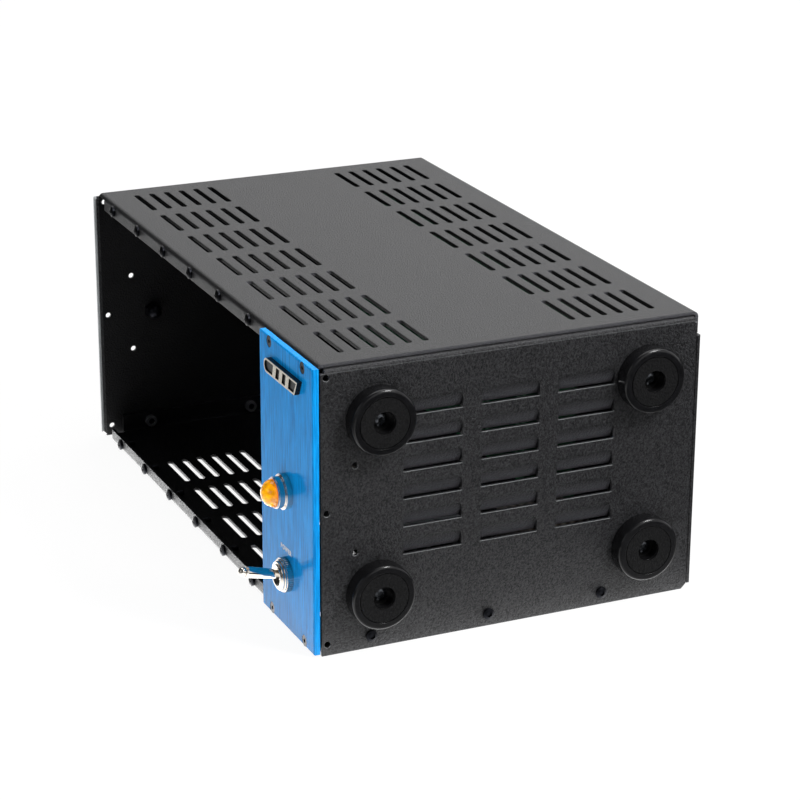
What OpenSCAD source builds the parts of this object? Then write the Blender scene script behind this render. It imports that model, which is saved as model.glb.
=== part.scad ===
// Six-slot rack for plug-in audio modules: a folded steel case with an open module bay,
// a blue power panel, round feet on one side, louvres and rear connectors.
// Frame: +Z up, the bay opens to -Y, the origin is on the bottom face at mid width and mid depth.

/* [Case] */
// Width over the two side panels
case_w = 298; // [294:1:320]
// Depth from the module mounting plane to the back of the rear wall
case_d = 185; // [180:1:220]
// Height from the bottom face to the top of the cover
case_h = 134; // [133:0.5:138]
// Thickness of the folded sheet
sheet = 1.5; // [1.2:0.1:1.8]
// Inner radius of every fold
bend_in = 1; // [0.6:0.1:1.4]
// Gap between sheet pieces that lie side by side
seam = 0.3; // [0.2:0.1:0.5]
// Step of the cover's long edges in from the outer faces
cover_inset = 2.5; // [2:0.5:4]
// Width of the flange that a side panel carries under the cover
side_flange_w = 11; // [9:0.5:13]
// Reach of the left panel's front edge ahead of the mounting plane
left_lead = 2.2; // [0:0.1:3]
// Step of the right panel's front edge behind the mounting plane
right_setback = 0.7; // [0.5:0.1:1]
// Depth of the relief notch in front of the right panel's upper fold
relief_d = 2; // [1.5:0.1:3]
// Height of the relief notch in front of the right panel's upper fold
relief_h = 1.7; // [1.2:0.1:4]
// Height of the flanges that the bottom turns up inside the side panels
tray_flange_h = 10.5; // [10:0.5:14]
// Step of those flanges behind the mounting plane and ahead of the rear wall
tray_flange_step = 9; // [7:0.5:12]
// Cut across a side panel's lower corners
corner_cut = 2.4; // [2:0.1:3]
// Height of the lip that the cover turns down at the rear
rear_lip_h = 10; // [9:0.5:12]

/* [Module rails] */
// Number of module slots
slots = 6; // [6:1:6]
// Step of the first slot's screws in from the left outer face
slot_first = 26.2; // [25:0.1:27]
// Step of the last slot's screws from the power panel
slot_last = 20.5; // [20:0.1:21.5]
// Step of the screw rows in from the top and bottom faces
rail_edge = 3.5; // [3.3:0.1:4]
// Sheet left on a lip beyond the centres of its screws
lip_edge = 3.3; // [3:0.1:4]
// Step of the lips' left ends in from the outer face
lip_left = 11.3; // [9:0.1:14]
// Step of the lips' right ends in from the outer face
lip_right = 5.5; // [5:0.1:6]
// Thread diameter of the module screws
rail_screw_d = 3; // [2.5:0.1:3.2]
// Head diameter of the module screws
rail_head_d = 5.6; // [5:0.1:6]
// Head height of the module screws
rail_head_h = 1.8; // [1.5:0.1:2.2]
// Length of the module screws under the head
rail_screw_l = 7; // [6:0.5:10]

/* [Vents] */
// Length of a vent slot
vent_l = 30; // [24:1:32]
// Width of a vent slot
vent_w = 3; // [2.5:0.1:4]
// Number of slot columns across the width
vent_cols = 7; // [5:2:7]
// Step of the outer columns' ends in from the outer faces
vent_side = 14; // [13:0.5:18]
// Number of slots in each block of a column
vent_rows = 6; // [3:1:6]
// Pitch of the slots in a block
vent_row_pitch = 8; // [7:0.1:8.2]
// First slot of the front block behind the mounting plane
vent_front = 16.4; // [15:0.1:18]
// Last slot of the rear block ahead of the rear face
vent_rear = 17; // [15:0.1:20]
// Length of a louvre
louvre_l = 28; // [22:1:30]
// Height of a louvre above its slit
louvre_h = 7.6; // [6.5:0.1:8]
// Depth of a louvre at its slit
louvre_d = 3.2; // [2.8:0.1:5]
// Wall of a louvre's hood
louvre_t = 1; // [0.8:0.1:1.2]
// Number of louvres in a column
louvre_rows = 6; // [3:1:6]
// Pitch of the louvres in a column
louvre_row_pitch = 12.9; // [12:0.1:13.2]
// Lowest slit below mid height
louvre_drop = 25; // [24:0.5:27]
// Pitch of the three louvre columns as a share of the distance between the front and rear feet
louvre_share = 0.285; // [0.275:0.001:0.29]
// Step of the middle louvre column ahead of mid depth
louvre_lead = 1.7; // [0:0.1:3]

/* [Feet] */
// Diameter of a foot
foot_d = 30.2; // [28:0.2:32]
// Height of a foot
foot_h = 8; // [7:0.5:10]
// Radius of a foot's rounded rim
foot_round = 1.5; // [1:0.1:2]
// Diameter of the textured pad let into a foot
foot_pad_d = 22.8; // [21:0.2:23.6]
// Thickness of that pad
foot_pad_t = 1.4; // [1:0.1:2]
// Diameter of a foot's counterbore
foot_bore_d = 10.4; // [9:0.2:12]
// Floor that a foot's counterbore leaves under its screw
foot_floor = 2; // [1.5:0.1:3]
// Front feet behind the mounting plane
foot_first = 27.1; // [25:0.1:29]
// Rear feet ahead of the rear face
foot_rear = 26.8; // [25:0.1:29]
// Step of the feet in from the top and bottom faces
foot_edge = 26.4; // [25:0.1:28]
// Thread diameter of the foot screws
foot_screw_d = 3.5; // [3:0.1:4]
// Head diameter of the foot screws
foot_screw_head_d = 6; // [5.5:0.1:7]
// Length of the foot screws past the wall's inner face
foot_screw_l = 5; // [4.5:0.5:7]

/* [Side fixings] */
// Diameter of the holes for rack ears
ear_hole_d = 2.9; // [2.5:0.1:3.8]
// Front row of rack-ear holes behind the mounting plane
ear_front = 3.3; // [3:0.1:4]
// Step of the outer holes in that row from the top and bottom faces
ear_edge = 5.3; // [5:0.1:7]
// Second row of rack-ear holes behind the mounting plane
ear_back = 16.6; // [14:0.1:18]
// Distance between the two holes in the second row
ear_back_pitch = 40.4; // [36:0.1:44]
// Thread diameter of the side screws
side_screw_d = 3; // [2.5:0.1:3.4]
// Head diameter of the side screws
side_head_d = 5.4; // [5:0.1:6]
// Height of the side screws above the bottom face
side_screw_z = 5.8; // [5.6:0.1:6.4]
// First side screw behind the mounting plane
side_screw_first = 24.2; // [22:0.1:26]
// Pitch of the three side screws
side_screw_pitch = 57.2; // [54:0.1:60]
// Diameter of the threaded inserts behind the side screws
insert_d = 6; // [5:0.1:6.4]
// Length of those inserts past the flange
insert_l = 2.4; // [2:0.1:3]

/* [Power panel] */
// Width of the power panel
power_w = 60.6; // [59:0.1:60.8]
// Step of the power panel's ends in from the top and bottom faces
power_edge = 1; // [0.7:0.1:1.2]
// Thickness of the power panel
power_t = 3; // [2:0.1:4]
// Bevel round the power panel's front
power_bevel = 0.5; // [0.2:0.1:0.8]
// Distance between the two screw columns of the power panel
power_screw_pitch = 38.1; // [34:0.1:38.4]
// Countersink diameter in the power panel
power_sink_d = 5.8; // [5.2:0.1:6]
// Length of the power panel's screws
power_screw_l = 9; // [7:0.5:12]
// Length of the badge
badge_w = 38.5; // [30:0.5:44]
// Height of the badge
badge_h = 6.6; // [6:0.1:8]
// Thickness of the badge's base
badge_t = 1.8; // [1.2:0.1:2.5]
// Height of the badge's rim and bars above its base
badge_rim = 0.6; // [0.4:0.1:1]
// Step of the badge below the power panel's upper end
badge_drop = 12.2; // [11:0.1:16]

/* [Lamp] */
// Height of the lamp above the bottom face
lamp_z = 67.4; // [60:0.1:80]
// Thread diameter of the lamp holder
lamp_thread_d = 10.5; // [9.5:0.1:11]
// Diameter of the bezel's flange
bezel_flange_d = 16.1; // [15.4:0.1:18]
// Thickness of the bezel's flange
bezel_flange_t = 3.1; // [1.5:0.1:4]
// Diameter of the bezel's rim
bezel_d = 14.2; // [14.2:0.1:15]
// Reach of the bezel from the panel
bezel_l = 6.4; // [6:0.1:8]
// Diameter of the jewel
jewel_d = 12.6; // [11.8:0.1:12.6]
// Height of the jewel's dome past the bezel
jewel_h = 5.4; // [4:0.1:6.3]
// Length of the lamp holder behind the panel
lamp_body_l = 30; // [24:1:36]
// Thickness of the lamp's back nut
lamp_nut_t = 3; // [2:0.1:4]
// Size across the flats of the lamp's back nut
lamp_nut_af = 15; // [14:0.5:17]

/* [Switch] */
// Height of the switch above the bottom face
switch_z = 27.7; // [27:0.1:34]
// Diameter of the switch's threaded bushing
bushing_d = 11.5; // [11:0.1:12]
// Reach of the bushing from the panel
bushing_l = 5.4; // [5.2:0.1:7]
// Diameter of the toothed washer
washer_d = 15.8; // [15:0.1:17]
// Thickness of the toothed washer
washer_t = 2.8; // [2:0.1:3]
// Number of teeth on the washer
washer_teeth = 44; // [24:2:48]
// Diameter of the dress nut at its foot
dress_nut_d = 14.6; // [14.2:0.1:15]
// Diameter of the dress nut's front ring
dress_ring_d = 13.4; // [13.2:0.1:13.8]
// Length of the dress nut
dress_nut_l = 2; // [1.8:0.1:2.2]
// Thickness of the switch's back nut
back_nut_t = 2.6; // [2:0.1:3.4]
// Tilt of the lever up from the bushing's axis
lever_tilt = 14; // [10:0.5:15]
// Depth of the lever's pivot inside the bushing
pivot_depth = 4; // [3.8:0.1:4.2]
// Diameter of the lever's ball
lever_ball_d = 6.8; // [6.6:0.1:7]
// Diameter of the lever at its neck
lever_neck_d = 4.3; // [3.6:0.1:4.4]
// Diameter of the lever at its thick end
lever_d = 5.2; // [4.8:0.1:5.6]
// Diameter of the cap at the lever's tip
lever_tip_d = 4.1; // [3.6:0.1:4.6]
// Length of the lever from its pivot
lever_l = 22.4; // [20:0.2:26]
// Width of the switch's body
switch_w = 17; // [15:0.5:20]
// Height of the switch's body
switch_h = 28; // [24:0.5:32]
// Depth of the switch's body
switch_d = 22; // [18:0.5:28]

/* [Backplane] */
// Room for wires between the backplane and the audio connectors
wire_room = 7.9; // [6:0.1:12]
// Depth of a card-edge socket
socket_d = 14.5; // [12:0.5:16]
// Width of a card-edge socket
socket_w = 9; // [8:0.5:11]
// Height of a card-edge socket
socket_h = 79; // [70:1:84]
// Width of the slot in a card-edge socket
socket_slot = 1.8; // [1.6:0.1:2.4]
// Step of the sockets to the left of the slots' middle
socket_offset = 9; // [6:0.5:11]
// Thickness of the printed boards
board_t = 1.6; // [1.2:0.1:2.4]
// Step of the backplane board's edges in from the top and bottom faces
backplane_edge = 14; // [13:0.5:17]
// Diameter of the standoffs that carry the boards
standoff_d = 6; // [5:0.5:7]
// Step of the backplane's standoffs in from its upper and lower edges
standoff_edge = 6; // [5:0.5:8]

/* [Power supply] */
// Width of the power supply's board
psu_w = 44; // [40:1:46]
// Length of the power supply's board
psu_l = 104; // [96:1:110]
// Height of the power supply's standoffs
psu_rise = 8; // [6:0.5:12]
// Distance between the standoff rows across the board
psu_standoff_w = 36; // [32:1:38]
// Distance between the standoff rows along the board
psu_standoff_l = 56; // [50:1:60]
// Margin of the power supply's parts from the board's edges and from each other
psu_edge = 3; // [2:0.5:4]
// Length of the transformer's core
trafo_l = 30; // [26:1:32]
// Width of the transformer's core
trafo_w = 34; // [30:1:38]
// Height of the transformer's core
trafo_h = 27; // [24:1:32]
// Reach of the transformer's bobbin past its core
bobbin_out = 3; // [2:0.5:4]
// Diameter of the reservoir capacitors
cap_d = 16; // [12:0.5:18]
// Height of the reservoir capacitors
cap_h = 26; // [20:1:32]
// Height of the heatsink
sink_h = 34; // [28:1:40]
// Length of the heatsink
sink_l = 40; // [34:1:42]
// Depth of the heatsink over its fins
sink_d = 13; // [11:0.5:15]
// Thickness of the heatsink's back
sink_base = 3; // [2:0.1:4]
// Thickness of a fin
sink_fin_t = 1.6; // [1.2:0.1:2]
// Number of fins on the heatsink
sink_fins = 7; // [4:1:8]

/* [Rear connectors] */
// Width of an audio connector's flange
xlr_w = 26; // [24:0.5:28]
// Height of an audio connector's flange
xlr_h = 31; // [29:0.5:33]
// Thickness of an audio connector's flange
xlr_t = 2; // [1.5:0.1:3]
// Diameter of an audio connector's barrel
xlr_barrel_d = 23; // [22:0.1:24]
// Depth of an audio connector's barrel behind the rear wall's outer face
xlr_barrel_l = 19; // [17:0.5:20]
// Wall of an audio connector's barrel
xlr_wall = 1.8; // [1.4:0.1:2.2]
// Depth of the cup in an audio connector
xlr_cup = 12; // [10:0.5:14]
// Width of the groove round the insert of an input
xlr_groove = 2.2; // [1.8:0.1:2.6]
// Radius of the circle of contacts
contact_ring = 5; // [4.6:0.1:5.4]
// Diameter of a contact pin
contact_d = 2.4; // [2:0.1:2.6]
// Row of inputs below the top face
xlr_in_drop = 39; // [36:0.5:42]
// Height of the row of outputs above the bottom face
xlr_out_z = 42; // [38:0.5:46]
// Diagonal screw places of a flange, across
xlr_screw_w = 19; // [18:0.1:20]
// Diagonal screw places of a flange, upward
xlr_screw_h = 24; // [22:0.1:25]
// Thread diameter of the connectors' screws
conn_screw_d = 3; // [2.5:0.1:3.2]
// Width of the mains inlet's flange
inlet_w = 50; // [48:0.5:52]
// Height of the mains inlet's flange
inlet_h = 23; // [22:0.5:25]
// Distance between the mains inlet's screws
inlet_screw_pitch = 40; // [38.5:0.1:41]
// Height of the mains inlet above the bottom face
inlet_z = 42; // [36:0.5:50]
// Step of the mains inlet's body in from its flange's ends
inlet_ear = 11; // [10:0.5:12]
// Depth of the mains inlet's body behind the rear face
inlet_l = 20; // [18:0.5:24]
// Depth of the well in the mains inlet
inlet_well = 16; // [14:0.5:18]
// Wall of the mains inlet's body
inlet_wall = 2; // [1.5:0.1:2.5]
// Cut across the upper corners of the well
inlet_slant = 3; // [2:0.1:4]
// Pitch of the blades in the well
blade_pitch = 7; // [6.5:0.1:7.5]
// Length of a blade
blade_l = 12.5; // [10:0.5:13.5]
// Width of a blade
blade_w = 2; // [1.6:0.1:2.4]
// Height of a blade
blade_h = 4; // [3:0.1:5]

/* [Handle] */
// Width of the strap
strap_w = 22; // [18:0.5:26]
// Thickness of the strap
strap_t = 4.5; // [3:0.1:6]
// Rise of the strap's middle over its ends
strap_rise = 8; // [4:0.5:14]
// Front handle screw behind the mounting plane
handle_first = 27.6; // [25:0.1:31]
// Rear handle screw ahead of the rear face
handle_rear = 27.4; // [25:0.1:31]
// Length of an end cap
cap_l = 30; // [27:0.5:34]
// Wall of an end cap
cap_wall = 2.4; // [2:0.1:3]
// Thread diameter of the handle's screws
handle_screw_d = 5; // [4:0.1:6]

/* [Hidden] */
$fn = 64;
// Radial clearance of a screw in its hole, and of a thread in its nut
hole_gap = 0.2;
thread_gap = 0.05;
// Gap between the power panel and the right outer face
panel_gap = 0.2;
// Overlap that lets a cut run past a face
eps = 0.5;

mid_z = case_h / 2;
y_lip = -case_d / 2;
y_rear = case_d / 2;
bend_out = sheet + bend_in;
wall_in = case_w / 2 - sheet;
side_top = case_h - sheet;
side_back = y_rear - sheet - seam;
lip_h = rail_edge + lip_edge;
lip_x0 = -case_w / 2 + lip_left;
lip_x1 = case_w / 2 - lip_right;
tray_half = wall_in - seam / 2;
joint_z = case_h - rear_lip_h - seam;
flange_y0 = y_lip + max(rail_screw_l, power_screw_l - power_t) + 1;
flange_y1 = y_rear - bend_out - seam;
screw_r = rail_screw_d / 2 + hole_gap;

power_x = case_w / 2 - power_w / 2 - panel_gap;
power_y = y_lip - power_t;
power_h = case_h - 2 * power_edge;
power_screw_x = [power_x - power_screw_pitch / 2, power_x + power_screw_pitch / 2];
slot_pitch = (case_w - slot_first - slot_last - power_w - panel_gap) / (slots - 1);
slot_x = [for (i = [0:slots - 1]) -case_w / 2 + slot_first + i * slot_pitch];
rail_z = [rail_edge, case_h - rail_edge];
vent_pitch = (case_w - 2 * vent_side - vent_l) / (vent_cols - 1);

foot_y = [y_lip + foot_first, y_rear - foot_rear];
foot_z = [foot_edge, case_h - foot_edge];
louvre_pitch = (foot_y[1] - foot_y[0]) * louvre_share;
side_screw_y = [for (i = [0:2]) y_lip + side_screw_first + i * side_screw_pitch];
handle_y = [y_lip + handle_first, y_rear - handle_rear];
handle_pitch = handle_y[1] - handle_y[0];

board_y = y_rear - xlr_barrel_l - wire_room - board_t;
board_x0 = -wall_in + 9;
board_x1 = slot_x[slots - 1] + slot_pitch / 2 - 2;
backplane_h = case_h - 2 * backplane_edge;
standoff_x = [for (i = [0:2:slots - 1]) slot_x[i] + slot_pitch / 2];
standoff_z = [backplane_edge + standoff_edge, case_h - backplane_edge - standoff_edge];
rear_in = y_rear - sheet;
psu_z = sheet + psu_rise;
psu_top = psu_z + board_t;
trafo_y = psu_l / 2 - trafo_l / 2 - bobbin_out - psu_edge;
cap_y = -psu_l / 2 + cap_d / 2 + psu_edge;
xlr_in_z = case_h - xlr_in_drop;
xlr_cup_r = xlr_barrel_d / 2 - xlr_wall;
inlet_body_w = inlet_w - 2 * inlet_ear;
inlet_body_h = inlet_h - 3;
strap_chord = handle_pitch + cap_l * 0.6;
strap_radius = strap_chord * strap_chord / (8 * strap_rise) + strap_rise / 2;
// Room that the strap's bow takes inside an end cap
strap_bow = (pow(strap_chord, 2) - pow(handle_pitch - cap_l, 2)) / (8 * strap_radius);
cap_t = ceil((strap_t + 2 * cap_wall + strap_bow + 1) * 10) / 10;
rear_screw_x = [-case_w / 3, 0, case_w / 3];
rear_screw_z = case_h - rear_lip_h / 2 - 1;

BLACK = "#2b2b2d";
BLUE = "#1f72bf";
CHROME = "#d4d6da";
STEEL = "#8d9096";

// Extrude a profile drawn in Y and Z from x0 to x1.
module span_x(x0, x1) {
    translate([x0, 0, 0]) rotate([90, 0, 90]) linear_extrude(x1 - x0) children();
}

// Extrude a profile drawn in X and Z from y0 to y1.
module span_y(y0, y1) {
    translate([0, y1, 0]) rotate([90, 0, 0]) linear_extrude(y1 - y0) children();
}

// Cylinder along Y from y0 to y1, the second radius at y1.
module rod_y(x, z, y0, y1, r, r2 = -1) {
    translate([x, y0, z]) rotate([-90, 0, 0]) cylinder(h = y1 - y0, r1 = r, r2 = r2 < 0 ? r : r2);
}

// Cylinder along X from x0 to x1.
module rod_x(y, z, x0, x1, r) {
    translate([x0, y, z]) rotate([0, 90, 0]) cylinder(h = x1 - x0, r = r);
}

// Rectangle with its upper corners rounded, standing on the axis.
module arch(w, h, r) {
    square([w, h - r]);
    translate([r, 0]) square([w - 2 * r, h]);
    for (x = [r, w - r]) translate([x, h - r]) circle(r);
}

// Section of a sheet folded down at both ends.
module fold(w, h) {
    difference() {
        arch(w, h, bend_out);
        translate([sheet, -eps]) arch(w - 2 * sheet, h - sheet + eps, bend_in);
    }
}

// Section of a sheet with one fold at the origin, legs a along x and b along y.
module angle(a, b) {
    difference() {
        corner(a, b, bend_out);
        translate([sheet, sheet]) corner(a, b, bend_in);
    }
}

// Rectangle with its corner at the origin rounded.
module corner(a, b, r) {
    translate([r, 0]) square([a - r, b]);
    translate([0, r]) square([a, b - r]);
    translate([r, r]) circle(r);
}

// Rounded rectangle about the origin.
module plate(w, h, r) {
    square([w - 2 * r, h], center = true);
    square([w, h - 2 * r], center = true);
    for (x = [-1, 1], y = [-1, 1]) translate([x * (w / 2 - r), y * (h / 2 - r)]) circle(r);
}

// Slot with round ends about the origin, along x.
module slot(l, w) {
    square([l - w, w], center = true);
    for (x = [-1, 1]) translate([x * (l - w) / 2, 0]) circle(w / 2);
}

// Both blocks of vent slots from this column on, cut upward from z0 through a panel of the case.
module vents(z0, first = 0) {
    rows = [for (j = [0:vent_rows - 1]) y_lip + vent_front + j * vent_row_pitch,
        for (j = [0:vent_rows - 1]) y_rear - vent_rear - j * vent_row_pitch];
    for (i = [first:vent_cols - 1], y = rows)
        translate([(i - (vent_cols - 1) / 2) * vent_pitch, y, z0 - eps])
            linear_extrude(sheet + 2 * eps) slot(vent_l, vent_w);
}

// Screw holes of one front lip, for the modules and the power panel.
module lip_holes(z) {
    for (x = concat(slot_x, power_screw_x)) rod_y(x, z, y_lip - eps, y_lip + sheet + eps, screw_r);
}

// Pan-head screw, head towards -Z, under-head face at the origin, with a cross recess or a hexagon socket.
module pan_screw(d, l, head_d, head_h, socket = false) {
    difference() {
        rotate_extrude() intersection() {
            union() {
                translate([0, -head_h]) square([head_d / 2, head_h]);
                square([d / 2, l]);
            }
            union() {
                square([head_d, l]);
                translate([0, -head_h + head_d]) circle(head_d);
            }
        }
        if (socket) translate([0, 0, -head_h - eps])
            cylinder(h = head_h * 0.6 + eps, r = head_d * 0.27, $fn = 6);
        else for (a = [0, 90]) rotate(a) translate([-head_d * 0.3, -head_d * 0.06, -head_h - eps])
            cube([head_d * 0.6, head_d * 0.12, head_h * 0.5 + eps]);
    }
}

// Hexagon nut standing on the origin, with a bore for thread d.
module hex_nut(af, t, d) {
    difference() {
        cylinder(h = t, r = af / sqrt(3), $fn = 6);
        translate([0, 0, -eps]) cylinder(h = t + 2 * eps, r = d / 2 + thread_gap);
    }
}

// Round standoff of length l standing on the origin.
module standoff(l) {
    cylinder(h = l, d = standoff_d);
}

// Top cover: one sheet with a drilled front lip, a rear lip and two blocks of vent slots.
module top_cover() {
    half = case_w / 2 - cover_inset;
    color(BLACK) difference() {
        span_x(-half, half) translate([y_lip, case_h - rear_lip_h]) fold(case_d, rear_lip_h);
        // the front lip is lower than the rear one, and its ends are cut back under the sheet
        translate([-half - eps, y_lip - eps, case_h - rear_lip_h - eps])
            cube([2 * half + 2 * eps, bend_out + eps, rear_lip_h - lip_h + eps]);
        for (x = [[-half - eps, lip_x0], [lip_x1, half + eps]])
            translate([x[0], y_lip - eps, case_h - rear_lip_h - eps])
                cube([x[1] - x[0], bend_out + eps, rear_lip_h - sheet + eps]);
        lip_holes(rail_z[1]);
        vents(case_h - sheet);
        for (x = rear_screw_x)
            rod_y(x, rear_screw_z, rear_in - eps, y_rear + eps, side_screw_d / 2 + hole_gap);
    }
}

// Upright wall and upper flange shared by the two side panels, on the right, from y0 to the rear.
module side_blank(y0) {
    difference() {
        span_y(y0, side_back) translate([case_w / 2, side_top]) rotate(180)
            angle(side_flange_w, side_top);
        // the flange starts behind the lips' screws and ends ahead of the cover's rear fold
        translate([case_w / 2 - side_flange_w - eps, y0 - eps, side_top - bend_out])
            cube([side_flange_w - bend_out + eps, flange_y0 - y0 + eps, bend_out + eps]);
        translate([case_w / 2 - side_flange_w - eps, flange_y1, side_top - bend_out])
            cube([side_flange_w + 2 * eps, case_d, bend_out + eps]);
        // lower rear corner cut on the slant, clear of the fold between bottom and rear wall
        translate([wall_in - eps, side_back, 0]) rotate([45, 0, 0])
            translate([0, -corner_cut, -corner_cut]) cube([sheet + 2 * eps, 2 * corner_cut,
                corner_cut * (1 + sqrt(2) / 2)]);
        for (y = side_screw_y)
            rod_x(y, side_screw_z, wall_in - eps, case_w / 2 + eps, side_screw_d / 2 + hole_gap);
        ear_holes();
    }
}

// Holes for rack ears: three near the front edge and two behind them.
module ear_holes() {
    for (z = [ear_edge, mid_z, case_h - ear_edge]) rod_x(y_lip + ear_front, z,
        wall_in - eps, case_w / 2 + eps, ear_hole_d / 2);
    for (k = [-1, 1]) rod_x(y_lip + ear_back, mid_z + k * ear_back_pitch / 2,
        wall_in - eps, case_w / 2 + eps, ear_hole_d / 2);
}

// Left side panel: reaches a little ahead of the mounting plane and carries the handle.
module side_panel_left() {
    color(BLACK) mirror([1, 0, 0]) difference() {
        side_blank(y_lip - left_lead);
        translate([wall_in - eps, y_lip - left_lead, 0]) rotate([45, 0, 0])
            translate([0, -corner_cut, -corner_cut / sqrt(2)])
                cube([sheet + 2 * eps, 2 * corner_cut, corner_cut * sqrt(2)]);
        for (y = handle_y)
            rod_x(y, mid_z, wall_in - eps, case_w / 2 + eps, handle_screw_d / 2 + hole_gap);
    }
}

// Form that a louvre presses in from the outer face: it rolls inward down to its slit on the axis
// and is rounded at its upper corners. grow widens it to the hood's inner side.
module louvre_form(grow, face) {
    steps = 8;
    roll = [for (k = [0:steps]) [-louvre_d * pow(k / steps, 1.15) - grow * 1.2, louvre_h * (1 - k / steps)]];
    intersection() {
        span_y(-louvre_l / 2 - grow, louvre_l / 2 + grow)
            polygon(concat([[face, 0], [face, louvre_h]], roll));
        translate([-louvre_d - 2 * grow - eps, 0, 0]) rotate([90, 0, 90])
            linear_extrude(louvre_d + 2 * grow + 2 * eps) translate([-louvre_l / 2 - grow, -eps])
                arch(louvre_l + 2 * grow, louvre_h + grow + 2 * eps, louvre_h * 0.5 + grow);
    }
}

// Right side panel: three columns of louvres pressed inward, the holes of the four feet and a notch
// ahead of the upper fold.
module side_panel_right() {
    places = [for (i = [-1:1], j = [0:louvre_rows - 1])
        [case_w / 2, i * louvre_pitch - louvre_lead, mid_z - louvre_drop + j * louvre_row_pitch]];
    color(BLACK) difference() {
        union() {
            side_blank(y_lip + right_setback);
            for (p = places) translate(p) louvre_form(louvre_t, -sheet / 2);
        }
        for (p = places) translate(p) louvre_form(0, 0.01);
        translate([case_w / 2 - side_flange_w - eps, y_lip, side_top - relief_h])
            cube([side_flange_w + 2 * eps, right_setback + relief_d, relief_h + eps]);
        for (y = foot_y, z = foot_z)
            rod_x(y, z, wall_in - eps, case_w / 2 + eps, foot_screw_d / 2 + hole_gap);
    }
}

// Chassis tray: bottom, rear wall, drilled front lip and side flanges folded from one sheet.
module chassis_tray() {
    half = tray_half - bend_out;
    y0 = y_lip + tray_flange_step;
    y1 = y_rear - tray_flange_step;
    color(BLACK) difference() {
        union() {
            difference() {
                span_x(-half, half) translate([y_lip, joint_z]) mirror([0, 1]) fold(case_d, joint_z);
                translate([-half - eps, y_lip - eps, lip_h])
                    cube([2 * half + 2 * eps, bend_out + eps, joint_z]);
                for (x = [[-half - eps, lip_x0], [lip_x1, half + eps]])
                    if (x[1] > x[0]) translate([x[0], y_lip - eps, -eps])
                        cube([x[1] - x[0], bend_out + eps, joint_z]);
            }
            for (m = [0, 1]) mirror([m, 0, 0]) span_y(y0, y1) translate([tray_half, 0])
                mirror([1, 0]) angle(bend_out + 2, tray_flange_h);
            // the rear wall covers the side panels' rear edges and steps in behind the cover's lip
            translate([-case_w / 2, rear_in, bend_out]) cube([case_w, sheet, joint_z - bend_out]);
            translate([-half, rear_in - sheet - seam / 2, joint_z - sheet])
                cube([2 * half, sheet + seam / 2 + eps, sheet]);
            translate([-half + side_flange_w, rear_in - sheet - seam / 2, joint_z - sheet])
                cube([2 * half - 2 * side_flange_w, sheet, case_h - bend_out - seam - joint_z + sheet]);
        }
        lip_holes(rail_z[0]);
        vents(0, 1);
        for (m = [-1, 1], y = side_screw_y) rod_x(y, side_screw_z, m > 0 ? half : -tray_half - eps,
            m > 0 ? tray_half + eps : -half, side_screw_d / 2 + hole_gap);
        for (x = slot_x, z = [xlr_in_z, xlr_out_z]) {
            rod_y(x, z, rear_in - eps, y_rear + eps, xlr_barrel_d / 2 + hole_gap);
            xlr_screw_places(x, z) rod_y(0, 0, rear_in - eps, y_rear + eps, conn_screw_d / 2 + hole_gap);
        }
        inlet_cut();
        for (x = rear_screw_x) rod_y(x, rear_screw_z, rear_in - sheet - seam, rear_in,
            side_screw_d / 2 + hole_gap);
    }
}

// The two screw places of an audio connector, on a diagonal of its flange.
module xlr_screw_places(x, z) {
    for (k = [-1, 1]) translate([x + k * xlr_screw_w / 2, 0, z + k * xlr_screw_h / 2]) children();
}

// Opening and screw holes of the mains inlet in the rear wall.
module inlet_cut() {
    span_y(rear_in - eps, y_rear + eps) translate([power_x, inlet_z]) plate(inlet_body_w + seam,
        inlet_body_h + seam, 2);
    for (k = [-1, 1]) rod_y(power_x + k * inlet_screw_pitch / 2, inlet_z, rear_in - eps, y_rear + eps,
        conn_screw_d / 2 + hole_gap);
}

// Power panel: a thick plate, bevelled in front, countersunk at its corners.
module power_panel() {
    c = power_bevel;
    z0 = mid_z - power_h / 2;
    color(BLUE) difference() {
        intersection() {
            translate([0, 0, z0]) linear_extrude(power_h) polygon([
                [power_x - power_w / 2, y_lip], [power_x - power_w / 2, power_y + c],
                [power_x - power_w / 2 + c, power_y], [power_x + power_w / 2 - c, power_y],
                [power_x + power_w / 2, power_y + c], [power_x + power_w / 2, y_lip]]);
            span_x(power_x - power_w / 2, power_x + power_w / 2) polygon([
                [y_lip, z0], [power_y + c, z0], [power_y, z0 + c],
                [power_y, z0 + power_h - c], [power_y + c, z0 + power_h], [y_lip, z0 + power_h]]);
        }
        for (x = power_screw_x, z = rail_z) {
            rod_y(x, z, power_y - eps, y_lip + eps, screw_r);
            rod_y(x, z, power_y - 0.01, power_y + power_sink_d / 2 - rail_screw_d / 2,
                power_sink_d / 2, rail_screw_d / 2);
        }
        rod_y(power_x, lamp_z, power_y - eps, y_lip + eps, lamp_thread_d / 2 + hole_gap);
        rod_y(power_x, switch_z, power_y - eps, y_lip + eps, bushing_d / 2 + hole_gap);
    }
}

// Flat-head screws of the power panel, seated in its countersinks.
module power_panel_screws() {
    r = rail_screw_d / 2 - thread_gap;
    head = (power_sink_d - rail_screw_d) / 2;
    color(BLACK) for (x = power_screw_x, z = rail_z) difference() {
        union() {
            rod_y(x, z, power_y + 0.15, power_y + head, power_sink_d / 2 - hole_gap, r);
            rod_y(x, z, power_y + head, power_y + power_screw_l, r);
        }
        rod_y_hex(x, z, power_y - eps, power_y + head * 0.8, rail_screw_d * 0.33);
    }
}

// Hexagon socket along Y.
module rod_y_hex(x, z, y0, y1, r) {
    translate([x, y0, z]) rotate([-90, 0, 0]) cylinder(h = y1 - y0, r = r, $fn = 6);
}

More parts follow.
